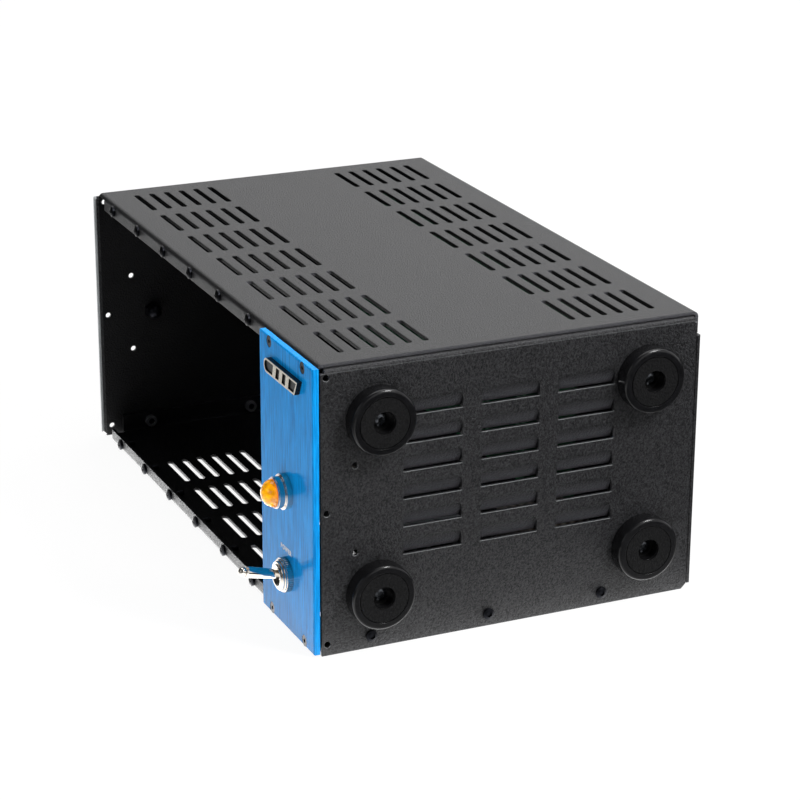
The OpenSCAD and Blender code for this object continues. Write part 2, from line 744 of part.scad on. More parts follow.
// Badge: one casting, round at its left end and slanted at its right, with a rim and plain bars.
module badge_plate() {
    x0 = power_x - badge_w / 2;
    color(BLACK) translate([x0, power_y, mid_z + power_h / 2 - badge_drop]) rotate([90, 0, 0]) {
        linear_extrude(badge_t) badge_outline(0);
        linear_extrude(badge_t + badge_rim) difference() {
            badge_outline(0);
            badge_outline(badge_h * 0.12);
        }
        for (k = [0:2]) translate([badge_w * (0.26 + 0.19 * k), -badge_h / 2 + badge_h * 0.11, 0])
            linear_extrude(badge_t + badge_rim)
                polygon([[0, 0], [badge_w * 0.09, 0], [badge_w * 0.09 + badge_h * 0.2, badge_h * 0.78],
                    [badge_h * 0.2, badge_h * 0.78]]);
    }
}

// The badge's outline, drawn in by a margin, its left end at the origin.
module badge_outline(m) {
    r = badge_h / 2 - m;
    translate([badge_h / 2, 0]) circle(r);
    translate([badge_h / 2, -r]) polygon([[0, 0], [badge_w - badge_h - m, 0],
        [badge_w - badge_h / 2 - m * 1.4, 2 * r], [0, 2 * r]]);
}

// Lamp bezel: a flanged ring that screws onto the lamp holder and holds the jewel.
module lamp_bezel() {
    color(CHROME) translate([power_x, power_y, lamp_z]) rotate([90, 0, 0]) rotate_extrude() difference() {
        union() {
            square([bezel_flange_d / 2 - 0.4, bezel_flange_t]);
            square([bezel_flange_d / 2, bezel_flange_t - 0.4]);
            square([bezel_d / 2, bezel_l - 0.6]);
            square([bezel_d / 2 - 0.3, bezel_l]);
        }
        translate([0, -eps]) square([lamp_thread_d / 2 + thread_gap, bezel_l + 2 * eps]);
        translate([0, bezel_l / 2]) square([jewel_d / 2 + 0.1, bezel_l]);
    }
}

// Amber jewel: a round base in the bezel and a dome cut in flat facets.
module lamp_lens() {
    r = jewel_d / 2;
    color("#f0a020") translate([power_x, power_y, lamp_z]) rotate([90, 0, 0]) {
        translate([0, 0, bezel_l / 2]) cylinder(h = bezel_l / 2, r = r);
        translate([0, 0, bezel_l]) rotate_extrude($fn = 12) polygon([[0, -0.2], [r - 0.1, -0.2],
            [r - 0.1, 0.4], [r * 0.88, jewel_h * 0.42], [r * 0.6, jewel_h * 0.78], [r * 0.28, jewel_h],
            [0, jewel_h]]);
    }
}

// Lamp holder: threaded front, plain barrel behind the panel and two solder tags.
module lamp_body() {
    r = lamp_thread_d / 2;
    color("#3a3633") translate([power_x, 0, lamp_z]) {
        rod_y(0, 0, power_y - bezel_l / 2, y_lip + lamp_nut_t + 4, r);
        rod_y(0, 0, y_lip + lamp_nut_t, y_lip + lamp_body_l, r + 1);
        for (k = [-1, 1]) translate([k * r * 0.55 - 1.2, y_lip + lamp_body_l - eps, -0.4])
            cube([2.4, 7, 0.8]);
    }
}

// Back nut of the lamp holder.
module lamp_nut() {
    color(STEEL) translate([power_x, y_lip, lamp_z]) rotate([-90, 0, 0])
        hex_nut(lamp_nut_af, lamp_nut_t, lamp_thread_d);
}

// Switch body with three blade terminals.
module toggle_body() {
    y0 = y_lip + back_nut_t + 0.4;
    color("#30302e") translate([power_x, 0, switch_z]) {
        span_y(y0, y0 + switch_d) plate(switch_w, switch_h, 2);
        for (k = [-1:1]) translate([-3, y0 + switch_d - eps, k * switch_h * 0.3 - 0.4]) cube([6, 9, 0.8]);
    }
}

// Threaded bushing of the switch, bored for the lever's ball, narrowed ahead of it and flared at its mouth.
module toggle_bushing() {
    l = bushing_l + power_t + back_nut_t + 0.4;
    r_ball = lever_ball_d / 2 + 0.1;
    throat = lever_ball_d / 2 * 0.88;
    throat_d = pivot_depth - sqrt(pow(lever_ball_d / 2 + 0.05, 2) - pow(throat, 2));
    color(CHROME) translate([power_x, power_y - bushing_l, switch_z]) rotate([-90, 0, 0])
        rotate_extrude() difference() {
            union() {
                translate([0, 0.5]) square([bushing_d / 2, l - 0.5]);
                square([bushing_d / 2 - 0.5, l]);
            }
            polygon([[0, -eps], [bushing_d / 2 - 1.2, -eps], [bushing_d / 2 - 1.2, 0], [throat, throat_d],
                [r_ball, throat_d], [r_ball, l + eps], [0, l + eps]]);
        }
}

// Toothed washer under the dress nut.
module toggle_washer() {
    r = washer_d / 2;
    color(CHROME) translate([power_x, power_y, switch_z]) rotate([90, 0, 0]) linear_extrude(washer_t)
        difference() {
            union() {
                circle(r * 0.95);
                for (k = [0:washer_teeth - 1]) rotate(k * 360 / washer_teeth)
                    translate([0, -r * PI / washer_teeth * 0.55])
                        polygon([[r * 0.8, 0], [r, r * PI / washer_teeth * 0.25],
                            [r, r * PI / washer_teeth * 0.85], [r * 0.8, r * PI / washer_teeth * 1.1]]);
            }
            circle(bushing_d / 2 + thread_gap);
        }
}

// Dress nut: a wide foot and a narrower front ring with a groove between them.
module toggle_nut() {
    in = bushing_d / 2 + thread_gap;
    r = dress_nut_d / 2;
    ring = dress_ring_d / 2;
    l = dress_nut_l;
    color(CHROME) translate([power_x, power_y - washer_t, switch_z]) rotate([90, 0, 0])
        rotate_extrude() polygon([[in, 0], [r, 0], [r, l * 0.36], [r - l * 0.1, l * 0.46],
            [ring - l * 0.12, l * 0.46], [ring - l * 0.12, l * 0.58], [ring, l * 0.58],
            [ring, l * 0.84], [ring - l * 0.16, l], [in, l]]);
}

// Nut that holds the switch behind the panel.
module toggle_back_nut() {
    color(STEEL) translate([power_x, y_lip, switch_z]) rotate([-90, 0, 0])
        hex_nut(dress_nut_d, back_nut_t, bushing_d);
}

// Bat lever on its ball: it thickens away from its neck, and a groove parts it from the cap at its tip.
// It is tilted up to the position that the switch rests in.
module toggle_lever() {
    r = lever_d / 2;
    neck = lever_neck_d / 2;
    tip = lever_tip_d / 2;
    cap = lever_l - tip * 1.4;
    color(CHROME) translate([power_x, power_y - bushing_l + pivot_depth, switch_z])
        rotate([90 - lever_tilt, 0, 0]) {
            sphere(d = lever_ball_d);
            rotate_extrude() {
                polygon([[0, 0], [neck, 0], [neck, pivot_depth + 1], [r, cap - r], [r, cap - r * 0.5],
                    [r - 0.2, cap - r * 0.2], [tip - 0.3, cap - r * 0.2], [tip - 0.3, cap], [tip, cap],
                    [tip, lever_l - tip], [0, lever_l - tip]]);
                intersection() {
                    translate([0, lever_l - tip]) circle(tip);
                    translate([0, lever_l - 1.5 * tip]) square([tip, 1.5 * tip]);
                }
            }
        }
}

// Twelve pan-head screws in the front lips, two for each module slot.
module module_screws() {
    color(BLACK) for (x = slot_x, z = rail_z) translate([x, y_lip, z]) rotate([-90, 0, 0])
        pan_screw(rail_screw_d, rail_screw_l, rail_head_d, rail_head_h);
}

// Three screws low on each side, into the tray's flanges.
module side_screws() {
    color(BLACK) for (m = [0, 1], y = side_screw_y) mirror([m, 0, 0])
        translate([case_w / 2, y, side_screw_z]) rotate([0, -90, 0])
            pan_screw(side_screw_d, 2 * sheet + seam / 2 + insert_l, side_head_d, side_screw_d * 0.5, true);
}

// Threaded inserts on the inside of the tray's flanges.
module clinch_nuts() {
    color(STEEL) for (m = [0, 1], y = side_screw_y) mirror([m, 0, 0]) difference() {
        rod_x(y, side_screw_z, tray_half - sheet - insert_l, tray_half - sheet, insert_d / 2);
        rod_x(y, side_screw_z, tray_half - sheet - insert_l - eps, tray_half - sheet + eps,
            side_screw_d / 2 + thread_gap);
    }
}

// Three screws through the cover's rear lip.
module rear_screws() {
    color(BLACK) for (x = rear_screw_x) translate([x, y_rear, rear_screw_z]) rotate([90, 0, 0])
        pan_screw(side_screw_d, 2 * sheet + seam + 2, side_head_d, side_screw_d * 0.5);
}

// Foot: round body with a rounded rim, a recess for its pad and a deep counterbore for its screw.
module foot(k) {
    r = foot_d / 2;
    color("#303133") translate([case_w / 2, foot_y[k % 2], foot_z[floor(k / 2)]]) rotate([0, 90, 0])
        rotate_extrude() difference() {
            union() {
                square([r - foot_round, foot_h]);
                translate([0, 0.4]) square([r, foot_h - foot_round - 0.4]);
                translate([r - foot_round, foot_h - foot_round]) circle(foot_round, $fn = 24);
            }
            translate([0, -eps]) square([foot_screw_d / 2 + hole_gap, foot_h + 2 * eps]);
            translate([0, foot_floor]) square([foot_bore_d / 2, foot_h]);
            translate([0, foot_h - foot_pad_t]) square([foot_pad_d / 2 + 0.4, foot_h]);
        }
}

module foot_1() { foot(0); }
module foot_2() { foot(1); }
module foot_3() { foot(2); }
module foot_4() { foot(3); }

// Textured pads let into the feet.
module foot_pads() {
    color("#151516") for (y = foot_y, z = foot_z) translate([case_w / 2 + foot_h - foot_pad_t, y, z])
        rotate([0, 90, 0]) linear_extrude(foot_pad_t) difference() {
            circle(foot_pad_d / 2);
            circle(foot_bore_d / 2);
        }
}

// Socket-head screws of the feet, deep in the counterbores.
module foot_screws() {
    l = foot_floor + sheet + foot_screw_l;
    color("#55575b") for (y = foot_y, z = foot_z) translate([case_w / 2 + foot_floor, y, z])
        rotate([0, -90, 0]) pan_screw(foot_screw_d, l, foot_screw_head_d, foot_screw_d * 0.6, true);
}

// Nuts of the foot screws inside the right wall.
module foot_nuts() {
    color(STEEL) for (y = foot_y, z = foot_z) translate([wall_in, y, z]) rotate([0, -90, 0])
        hex_nut(foot_screw_d * 1.75, foot_screw_d * 0.8, foot_screw_d);
}

// Backplane board that carries the module sockets.
module backplane_board() {
    color("#1d4d33") difference() {
        translate([board_x0, board_y, mid_z - backplane_h / 2])
            cube([board_x1 - board_x0, board_t, backplane_h]);
        for (x = standoff_x, z = standoff_z)
            rod_y(x, z, board_y - eps, board_y + board_t + eps, standoff_d / 4);
    }
}

// Card-edge socket of one module slot: two ears and a long slot for the card.
module edge_connector(i) {
    color("#1c3a2a") translate([slot_x[i] - socket_offset, board_y - socket_d, mid_z]) difference() {
        union() {
            span_y(0, socket_d) plate(socket_w, socket_h, 1);
            span_y(socket_d - 4, socket_d) plate(socket_w, socket_h + 10, 1);
        }
        translate([-socket_slot / 2, -eps, -socket_h / 2 + 4])
            cube([socket_slot, socket_d - 4, socket_h - 8]);
        translate([-socket_slot / 2 - 0.8, -eps, -socket_h / 2 + 4])
            cube([socket_slot + 1.6, 1.5, socket_h - 8]);
    }
}

module edge_connector_1() { edge_connector(0); }
module edge_connector_2() { edge_connector(1); }
module edge_connector_3() { edge_connector(2); }
module edge_connector_4() { edge_connector(3); }
module edge_connector_5() { edge_connector(4); }
module edge_connector_6() { edge_connector(5); }

// Standoffs from the rear wall to the backplane board.
module backplane_standoffs() {
    color(STEEL) for (x = standoff_x, z = standoff_z)
        translate([x, board_y + board_t, z]) rotate([-90, 0, 0]) standoff(rear_in - board_y - board_t);
}

// Board of the power supply on the tray's solid middle.
module psu_board() {
    color("#1d4d33") translate([power_x - psu_w / 2, -psu_l / 2, psu_z]) cube([psu_w, psu_l, board_t]);
}

// Transformer: a laminated core with its wound bobbin.
module psu_transformer() {
    color("#7a7468") translate([power_x, trafo_y, psu_top]) {
        difference() {
            translate([-trafo_w / 2, -trafo_l / 2, 0]) cube([trafo_w, trafo_l, trafo_h]);
            for (x = [-0.36, 0.18]) translate([x * trafo_w, -trafo_l / 2 - eps, trafo_h * 0.2])
                cube([trafo_w * 0.18, trafo_l + 2 * eps, trafo_h * 0.6]);
        }
        translate([-trafo_w * 0.34, -trafo_l / 2 - bobbin_out, trafo_h * 0.22])
            cube([trafo_w * 0.68, trafo_l + 2 * bobbin_out, trafo_h * 0.56]);
    }
}

// Reservoir capacitors.
module psu_capacitors() {
    color("#26262c") for (k = [0, 1]) translate([power_x - psu_w / 2 + cap_d / 2 + psu_edge,
        cap_y + k * (cap_d + psu_edge), psu_top]) cylinder(h = cap_h, d = cap_d);
}

// Finned heatsink of the regulators.
module psu_heatsink() {
    fin_pitch = (sink_l - sink_fin_t) / (sink_fins - 1);
    color("#9a9da1") translate([power_x + psu_w / 2 - psu_edge - sink_d, cap_y - cap_d / 2, psu_top]) {
        cube([sink_base, sink_l, sink_h]);
        for (k = [0:sink_fins - 1]) translate([sink_base - eps, k * fin_pitch, 0])
            cube([sink_d - sink_base + eps, sink_fin_t, sink_h]);
    }
}

// Standoffs of the power supply's board.
module psu_standoffs() {
    color(STEEL) for (i = [-1, 1], j = [-1, 1])
        translate([power_x + i * psu_standoff_w / 2, j * psu_standoff_l / 2, sheet]) standoff(psu_rise);
}

// Flange and barrel shared by the audio connectors, drawn at the middle of the rear face.
module xlr_shell() {
    span_y(y_rear, y_rear + xlr_t) plate(xlr_w, xlr_h, 3);
    rod_y(0, 0, y_rear - xlr_barrel_l, y_rear + eps, xlr_barrel_d / 2);
}

// The three contact places of an audio connector.
module contact_places() {
    for (a = [90, 210, 330]) translate([contact_ring * cos(a), 0, contact_ring * sin(a)]) children();
}

// Shell of an audio connector: the barrel is a cup, open towards the rear.
module xlr_cup_shell() {
    difference() {
        xlr_shell();
        rod_y(0, 0, y_rear - xlr_cup, y_rear + xlr_t + eps, xlr_cup_r);
        xlr_screw_places(0, 0) rod_y(0, 0, y_rear - eps, y_rear + xlr_t + eps, conn_screw_d / 2 + hole_gap);
    }
}

// Input: the shell of a female connector.
module xlr_input(i) {
    color(BLACK) translate([slot_x[i], 0, xlr_in_z]) xlr_cup_shell();
}

// Inserts of the inputs: round blocks with three sockets, each on the floor of its shell's cup.
module xlr_inserts() {
    color("#39393c") for (x = slot_x) translate([x, 0, xlr_in_z]) difference() {
        rod_y(0, 0, y_rear - xlr_cup, y_rear + xlr_t, xlr_cup_r - xlr_groove);
        contact_places() rod_y(0, 0, y_rear - xlr_cup + 2, y_rear + xlr_t + eps, contact_d / 2 + hole_gap);
    }
}

// Output: male connector, a cup with three pins.
module xlr_output(i) {
    color(BLACK) translate([slot_x[i], 0, xlr_out_z]) {
        xlr_cup_shell();
        contact_places() rod_y(0, 0, y_rear - xlr_cup - eps, y_rear, contact_d / 2);
    }
}

module xlr_input_1() { xlr_input(0); }
module xlr_input_2() { xlr_input(1); }
module xlr_input_3() { xlr_input(2); }
module xlr_input_4() { xlr_input(3); }
module xlr_input_5() { xlr_input(4); }
module xlr_input_6() { xlr_input(5); }
module xlr_output_1() { xlr_output(0); }
module xlr_output_2() { xlr_output(1); }
module xlr_output_3() { xlr_output(2); }
module xlr_output_4() { xlr_output(3); }
module xlr_output_5() { xlr_output(4); }
module xlr_output_6() { xlr_output(5); }

// Mains inlet: flange, body, a well with slanted corners and three blades.
module mains_inlet() {
    w = inlet_body_w / 2 - inlet_wall;
    h = inlet_body_h / 2 - inlet_wall;
    c = inlet_slant;
    color(BLACK) translate([power_x, 0, inlet_z]) {
        difference() {
            union() {
                span_y(y_rear, y_rear + xlr_t) plate(inlet_w, inlet_h, 4);
                span_y(y_rear - inlet_l, y_rear + eps) plate(inlet_body_w, inlet_body_h, 2);
            }
            span_y(y_rear - inlet_well, y_rear + xlr_t + eps)
                polygon([[-w, -h], [w, -h], [w, h - c], [w - c, h], [c - w, h], [-w, h - c]]);
            for (k = [-1, 1]) rod_y(k * inlet_screw_pitch / 2, 0, y_rear - eps, y_rear + xlr_t + eps,
                conn_screw_d / 2 + hole_gap);
        }
        for (k = [-1:1]) translate([k * blade_pitch - blade_w / 2, y_rear - inlet_well - eps,
            (k == 0 ? 0.5 : -0.5) * blade_h - blade_h / 2]) cube([blade_w, blade_l + eps, blade_h]);
    }
}

// Screws of the rear connectors.
module connector_screws() {
    color(BLACK) {
        for (x = slot_x, z = [xlr_in_z, xlr_out_z]) xlr_screw_places(x, z) rear_screw();
        for (k = [-1, 1]) translate([power_x + k * inlet_screw_pitch / 2, 0, inlet_z]) rear_screw();
    }
}

// One connector screw, seated on a flange.
module rear_screw() {
    translate([0, y_rear + xlr_t, 0]) rotate([90, 0, 0])
        pan_screw(conn_screw_d, xlr_t + sheet + 2.5, conn_screw_d * 1.7, conn_screw_d * 0.5);
}

// Strap of the carry handle, bowed away from the left wall.
module handle_strap() {
    x_end = -case_w / 2 - cap_wall;
    color("#1b1b1c") difference() {
        translate([x_end - strap_rise + strap_radius - strap_t, (handle_y[0] + handle_y[1]) / 2,
            mid_z - strap_w / 2]) linear_extrude(strap_w) intersection() {
                difference() {
                    circle(strap_radius, $fn = 200);
                    circle(strap_radius - strap_t, $fn = 200);
                }
                translate([-strap_radius - eps, -strap_chord / 2]) square([strap_radius, strap_chord]);
            }
        for (y = handle_y) rod_x(y, mid_z, x_end - strap_rise - 2 * strap_t, x_end + strap_t + strap_rise,
            handle_screw_d / 2 + hole_gap);
    }
}

// End caps of the handle: each takes a strap end in a pocket open towards the middle.
module handle_caps() {
    color("#3c3d40") for (k = [0, 1]) difference() {
        translate([-case_w / 2, handle_y[k], mid_z]) rotate([0, -90, 0]) linear_extrude(cap_t)
            plate(strap_w + 2 * cap_wall + 1, cap_l, 4);
        translate([-case_w / 2 - cap_t + cap_wall, k == 0 ? handle_y[k] - cap_l * 0.34 : handle_y[k] - cap_l,
            mid_z - strap_w / 2 - 0.3]) cube([cap_t - 2 * cap_wall + 0.3, cap_l * 1.34, strap_w + 0.6]);
        rod_x(handle_y[k], mid_z, -case_w / 2 - cap_t - eps, -case_w / 2 + eps,
            handle_screw_d / 2 + hole_gap);
    }
}

// Screws of the handle.
module handle_screws() {
    color(CHROME) for (y = handle_y) translate([-case_w / 2 - cap_t, y, mid_z]) rotate([0, 90, 0])
        pan_screw(handle_screw_d, cap_t + sheet + handle_screw_d * 0.8, handle_screw_d * 1.8,
            handle_screw_d * 0.5);
}

// Domed nuts of the handle inside the left wall.
module handle_nuts() {
    d = handle_screw_d;
    color(BLACK) for (y = handle_y) translate([-wall_in, y, mid_z]) rotate([0, 90, 0]) difference() {
        union() {
            cylinder(h = d * 0.7, r = d * 0.92, $fn = 6);
            intersection() {
                translate([0, 0, d * 0.7]) sphere(r = d * 0.76);
                cylinder(h = d * 2, r = d);
            }
        }
        translate([0, 0, -eps]) cylinder(h = d * 0.85 + eps, r = d / 2 + thread_gap);
    }
}

top_cover();
side_panel_left();
side_panel_right();
chassis_tray();
power_panel();
badge_plate();
lamp_bezel();
lamp_lens();
lamp_body();
lamp_nut();
toggle_body();
toggle_bushing();
toggle_washer();
toggle_nut();
toggle_back_nut();
toggle_lever();
power_panel_screws();
module_screws();
side_screws();
clinch_nuts();
rear_screws();
foot_1();
foot_2();
foot_3();
foot_4();
foot_pads();
foot_screws();
foot_nuts();
backplane_board();
edge_connector_1();
edge_connector_2();
edge_connector_3();
edge_connector_4();
edge_connector_5();
edge_connector_6();
backplane_standoffs();
psu_board();
psu_transformer();
psu_capacitors();
psu_heatsink();
psu_standoffs();
xlr_input_1();
xlr_input_2();
xlr_input_3();
xlr_input_4();
xlr_input_5();
xlr_input_6();
xlr_inserts();
xlr_output_1();
xlr_output_2();
xlr_output_3();
xlr_output_4();
xlr_output_5();
xlr_output_6();
mains_inlet();
connector_screws();
handle_strap();
handle_caps();
handle_screws();
handle_nuts();
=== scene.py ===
"""Looks for a six-slot rack for plug-in audio modules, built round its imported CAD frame."""

import math

import bmesh
import bpy
from mathutils import Matrix, Vector


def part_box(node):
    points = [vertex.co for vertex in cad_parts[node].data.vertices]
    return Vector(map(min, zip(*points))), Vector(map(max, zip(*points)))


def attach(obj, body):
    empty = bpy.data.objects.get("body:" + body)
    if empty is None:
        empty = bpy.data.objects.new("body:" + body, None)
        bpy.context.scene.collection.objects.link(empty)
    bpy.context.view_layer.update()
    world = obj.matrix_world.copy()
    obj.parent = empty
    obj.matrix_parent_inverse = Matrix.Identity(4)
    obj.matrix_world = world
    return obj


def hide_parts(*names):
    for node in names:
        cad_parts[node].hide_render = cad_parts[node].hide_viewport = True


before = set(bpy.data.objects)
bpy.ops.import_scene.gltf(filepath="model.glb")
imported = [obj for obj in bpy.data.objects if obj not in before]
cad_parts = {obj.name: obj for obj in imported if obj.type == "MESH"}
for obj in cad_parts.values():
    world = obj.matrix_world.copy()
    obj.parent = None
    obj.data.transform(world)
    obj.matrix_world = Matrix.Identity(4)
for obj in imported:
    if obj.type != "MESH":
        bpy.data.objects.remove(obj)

bl_info = {
    "name": "Audio module rack",
    "version": (1, 0, 0),
    "blender": (4, 5, 0),
    "location": "View3D > Sidebar > Rack",
    "description": "Finishes, contacts, lamp jewel, legends and a studio for a six-slot module rack",
    "category": "Object",
}

MM = 0.001
CASE = "case"
SLOTS = range(1, 7)
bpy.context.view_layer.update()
# thickness of printed ink
INK = 0.02 * MM
# height of a capital letter as a share of its font's size
CAPITAL = 0.7
# distance at which a wave texture of scale 1 repeats
WAVE = 2 * math.pi / 20


def middle(node):
    """Centre of a CAD node's box."""
    lo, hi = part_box(node)
    return (lo + hi) / 2


# Places that the frame gives; the output connectors' flanges stand 2 mm proud of the rear wall
PANEL_LO, PANEL_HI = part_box("power_panel")
PANEL_FRONT = PANEL_LO.y
LIP_PLANE = PANEL_HI.y
REAR_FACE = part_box("xlr_output_1")[1].y - 2.0 * MM
JEWEL_LO, JEWEL_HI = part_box("lamp_lens")
BEZEL_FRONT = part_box("lamp_bezel")[0].y
CASE_LO = Vector((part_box("side_panel_left")[0].x, LIP_PLANE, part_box("chassis_tray")[0].z))
CASE_HI = Vector((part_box("side_panel_right")[1].x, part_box("chassis_tray")[1].y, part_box("top_cover")[1].z))


def linear(code):
    """Linear colour with alpha from an sRGB hex code."""
    parts = [int(code[i:i + 2], 16) / 255 for i in (1, 3, 5)]
    return (*[c / 12.92 if c <= 0.04045 else ((c + 0.055) / 1.055) ** 2.4 for c in parts], 1.0)


def shade(tone, gain):
    """A linear colour made lighter or darker by a factor."""
    return (*[min(1.0, c * gain) for c in tone[:3]], 1.0)


def per_mm(size):
    """Texture scale that gives features of this size in millimetres."""
    return 1 / (size * MM)


def colour(code, name, description):
    """Colour property with a default given as sRGB hex."""
    return bpy.props.FloatVectorProperty(
        name=name, description=description, default=linear(code), size=4, subtype="COLOR", min=0, max=1)


def length(size, name, description):
    """Length property with a default given in millimetres."""
    return bpy.props.FloatProperty(
        name=name, description=description, default=size * MM, unit="LENGTH", subtype="DISTANCE")


class RackColours(bpy.types.PropertyGroup):
    """Colours of the rack's finishes."""

    coat: colour("#1e1e20", "Powder coat", "Black powder coat of the folded case")
    anodised: colour("#1093ed", "Anodised blue", "Dyed and sealed aluminium of the power panel")
    chrome: colour("#d6d1ca", "Chrome", "Bright plating of the lamp bezel and the switch")
    amber: colour("#f79a00", "Amber", "Glass of the lamp's jewel")
    legend: colour("#e9edf0", "Legend", "Screen-printed words")
    zinc: colour("#b4b7bb", "Zinc", "Plated nuts and standoffs")
    mask: colour("#1c5a38", "Solder mask", "Coating of the printed boards")
    gold: colour("#d9b25f", "Contact gold", "Plating of the card and audio contacts")
    strap: colour("#191a1b", "Strap", "Rubber of the carry handle")


class RackSizes(bpy.types.PropertyGroup):
    """Sizes of the pieces that are made here."""

    jewel_sides: bpy.props.IntProperty(
        name="Jewel sides", description="Facets in each ring of the jewel", default=18, min=6)
    pin_radius: length(1.28, "Pin radius", "Contact pins of the male audio connectors")
    pin_circle: length(5.0, "Pin circle", "Distance of the contacts from a connector's axis")
    leaf_count: bpy.props.IntProperty(
        name="Card contacts", description="Contacts on each side of a card-edge socket", default=15, min=1)
    leaf_pitch: length(3.96, "Card contact pitch", "Pitch of the contacts in a card-edge socket")
    legend_height: length(2.1, "Legend height", "Height of the word over the switch")
    numeral_height: length(4.2, "Numeral height", "Height of the numerals on the rear wall, with their margin")


class RackStage(bpy.types.PropertyGroup):
    """Studio round the rack."""

    lens: bpy.props.FloatProperty(
        name="Lens", description="Focal length on a 36 mm sensor", default=117.29, subtype="DISTANCE_CAMERA")
    key_power: bpy.props.FloatProperty(
        name="Key", description="Power of the overhead softbox", default=20.0, unit="POWER")
    fill_power: bpy.props.FloatProperty(
        name="Fill", description="Power of the softbox in front and of the one behind", default=2.7, unit="POWER")
    right_power: bpy.props.FloatProperty(
        name="Right", description="Power of the softbox on the side of the feet", default=1.5, unit="POWER")
    rim_power: bpy.props.FloatProperty(
        name="Rim", description="Power of the small lamp that draws the edges", default=25.0, unit="POWER")
    glow: bpy.props.FloatProperty(
        name="Floor", description="Brightness of the floor's mirror image next to the rack", default=4.0)
    room: bpy.props.FloatProperty(
        name="Room", description="Strength of the light from the white room", default=0.29)


def add(tree, kind, inputs=None, **settings):
    """Add a node with its settings; an input is linked from a socket or set to a value, by name or number."""
    node = tree.nodes.new(kind)
    for name, value in settings.items():
        setattr(node, name, value)
    for key, value in (inputs or {}).items():
        if isinstance(value, bpy.types.NodeSocket):
            tree.links.new(value, node.inputs[key])
        else:
            node.inputs[key].default_value = value
    return node


def material(name, sockets=None):
    """Start a material: the material, its tree, its shader and its Object coordinates."""
    made = bpy.data.materials.new(name)
    made.use_nodes = True
    tree = made.node_tree
    tree.nodes.clear()
    shader = add(tree, "ShaderNodeBsdfPrincipled", sockets)
    add(tree, "ShaderNodeOutputMaterial", {"Surface": shader.outputs[0]})
    return made, tree, shader, add(tree, "ShaderNodeTexCoord").outputs["Object"]


def vary(tree, shader, pattern, dark, light, rough):
    """Let a pattern run the base colour from dark to light and the roughness along this pair; give the colour."""
    tint = add(tree, "ShaderNodeMix", {0: pattern, 6: dark, 7: light}, data_type="RGBA")
    gloss = add(tree, "ShaderNodeMapRange", {"Value": pattern, "To Min": rough[0], "To Max": rough[1]})
    tree.links.new(tint.outputs[2], shader.inputs["Base Color"])
    tree.links.new(gloss.outputs[0], shader.inputs["Roughness"])
    return tint.outputs[2]


def emboss(tree, shader, height, depth, strength=1.0, edge=0.0):
    """Bump a shader by a height pattern of this depth in mm, with sharp edges eased by edge mm."""
    sockets = {"Height": height, "Distance": depth * MM, "Strength": strength}
    if edge:
        eased = add(tree, "ShaderNodeBevel", {"Radius": edge * MM}, samples=4)
        sockets["Normal"] = eased.outputs[0]
    bump = add(tree, "ShaderNodeBump", sockets)
    tree.links.new(bump.outputs[0], shader.inputs["Normal"])


def outside(tree, coords, lo, hi):
    """How far a place lies outside a box; below zero within it."""
    off = add(tree, "ShaderNodeVectorMath", {0: coords, 1: (lo + hi) / 2}, operation="SUBTRACT")
    away = add(tree, "ShaderNodeVectorMath", {0: off.outputs[0]}, operation="ABSOLUTE")
    past = add(tree, "ShaderNodeVectorMath", {0: away.outputs[0], 1: (hi - lo) / 2}, operation="SUBTRACT")
    parts = add(tree, "ShaderNodeSeparateXYZ", {"Vector": past.outputs[0]}).outputs
    wide = add(tree, "ShaderNodeMath", {0: parts["X"], 1: parts["Y"]}, operation="MAXIMUM")
    return add(tree, "ShaderNodeMath", {0: wide.outputs[0], 1: parts["Z"]}, operation="MAXIMUM").outputs[0]


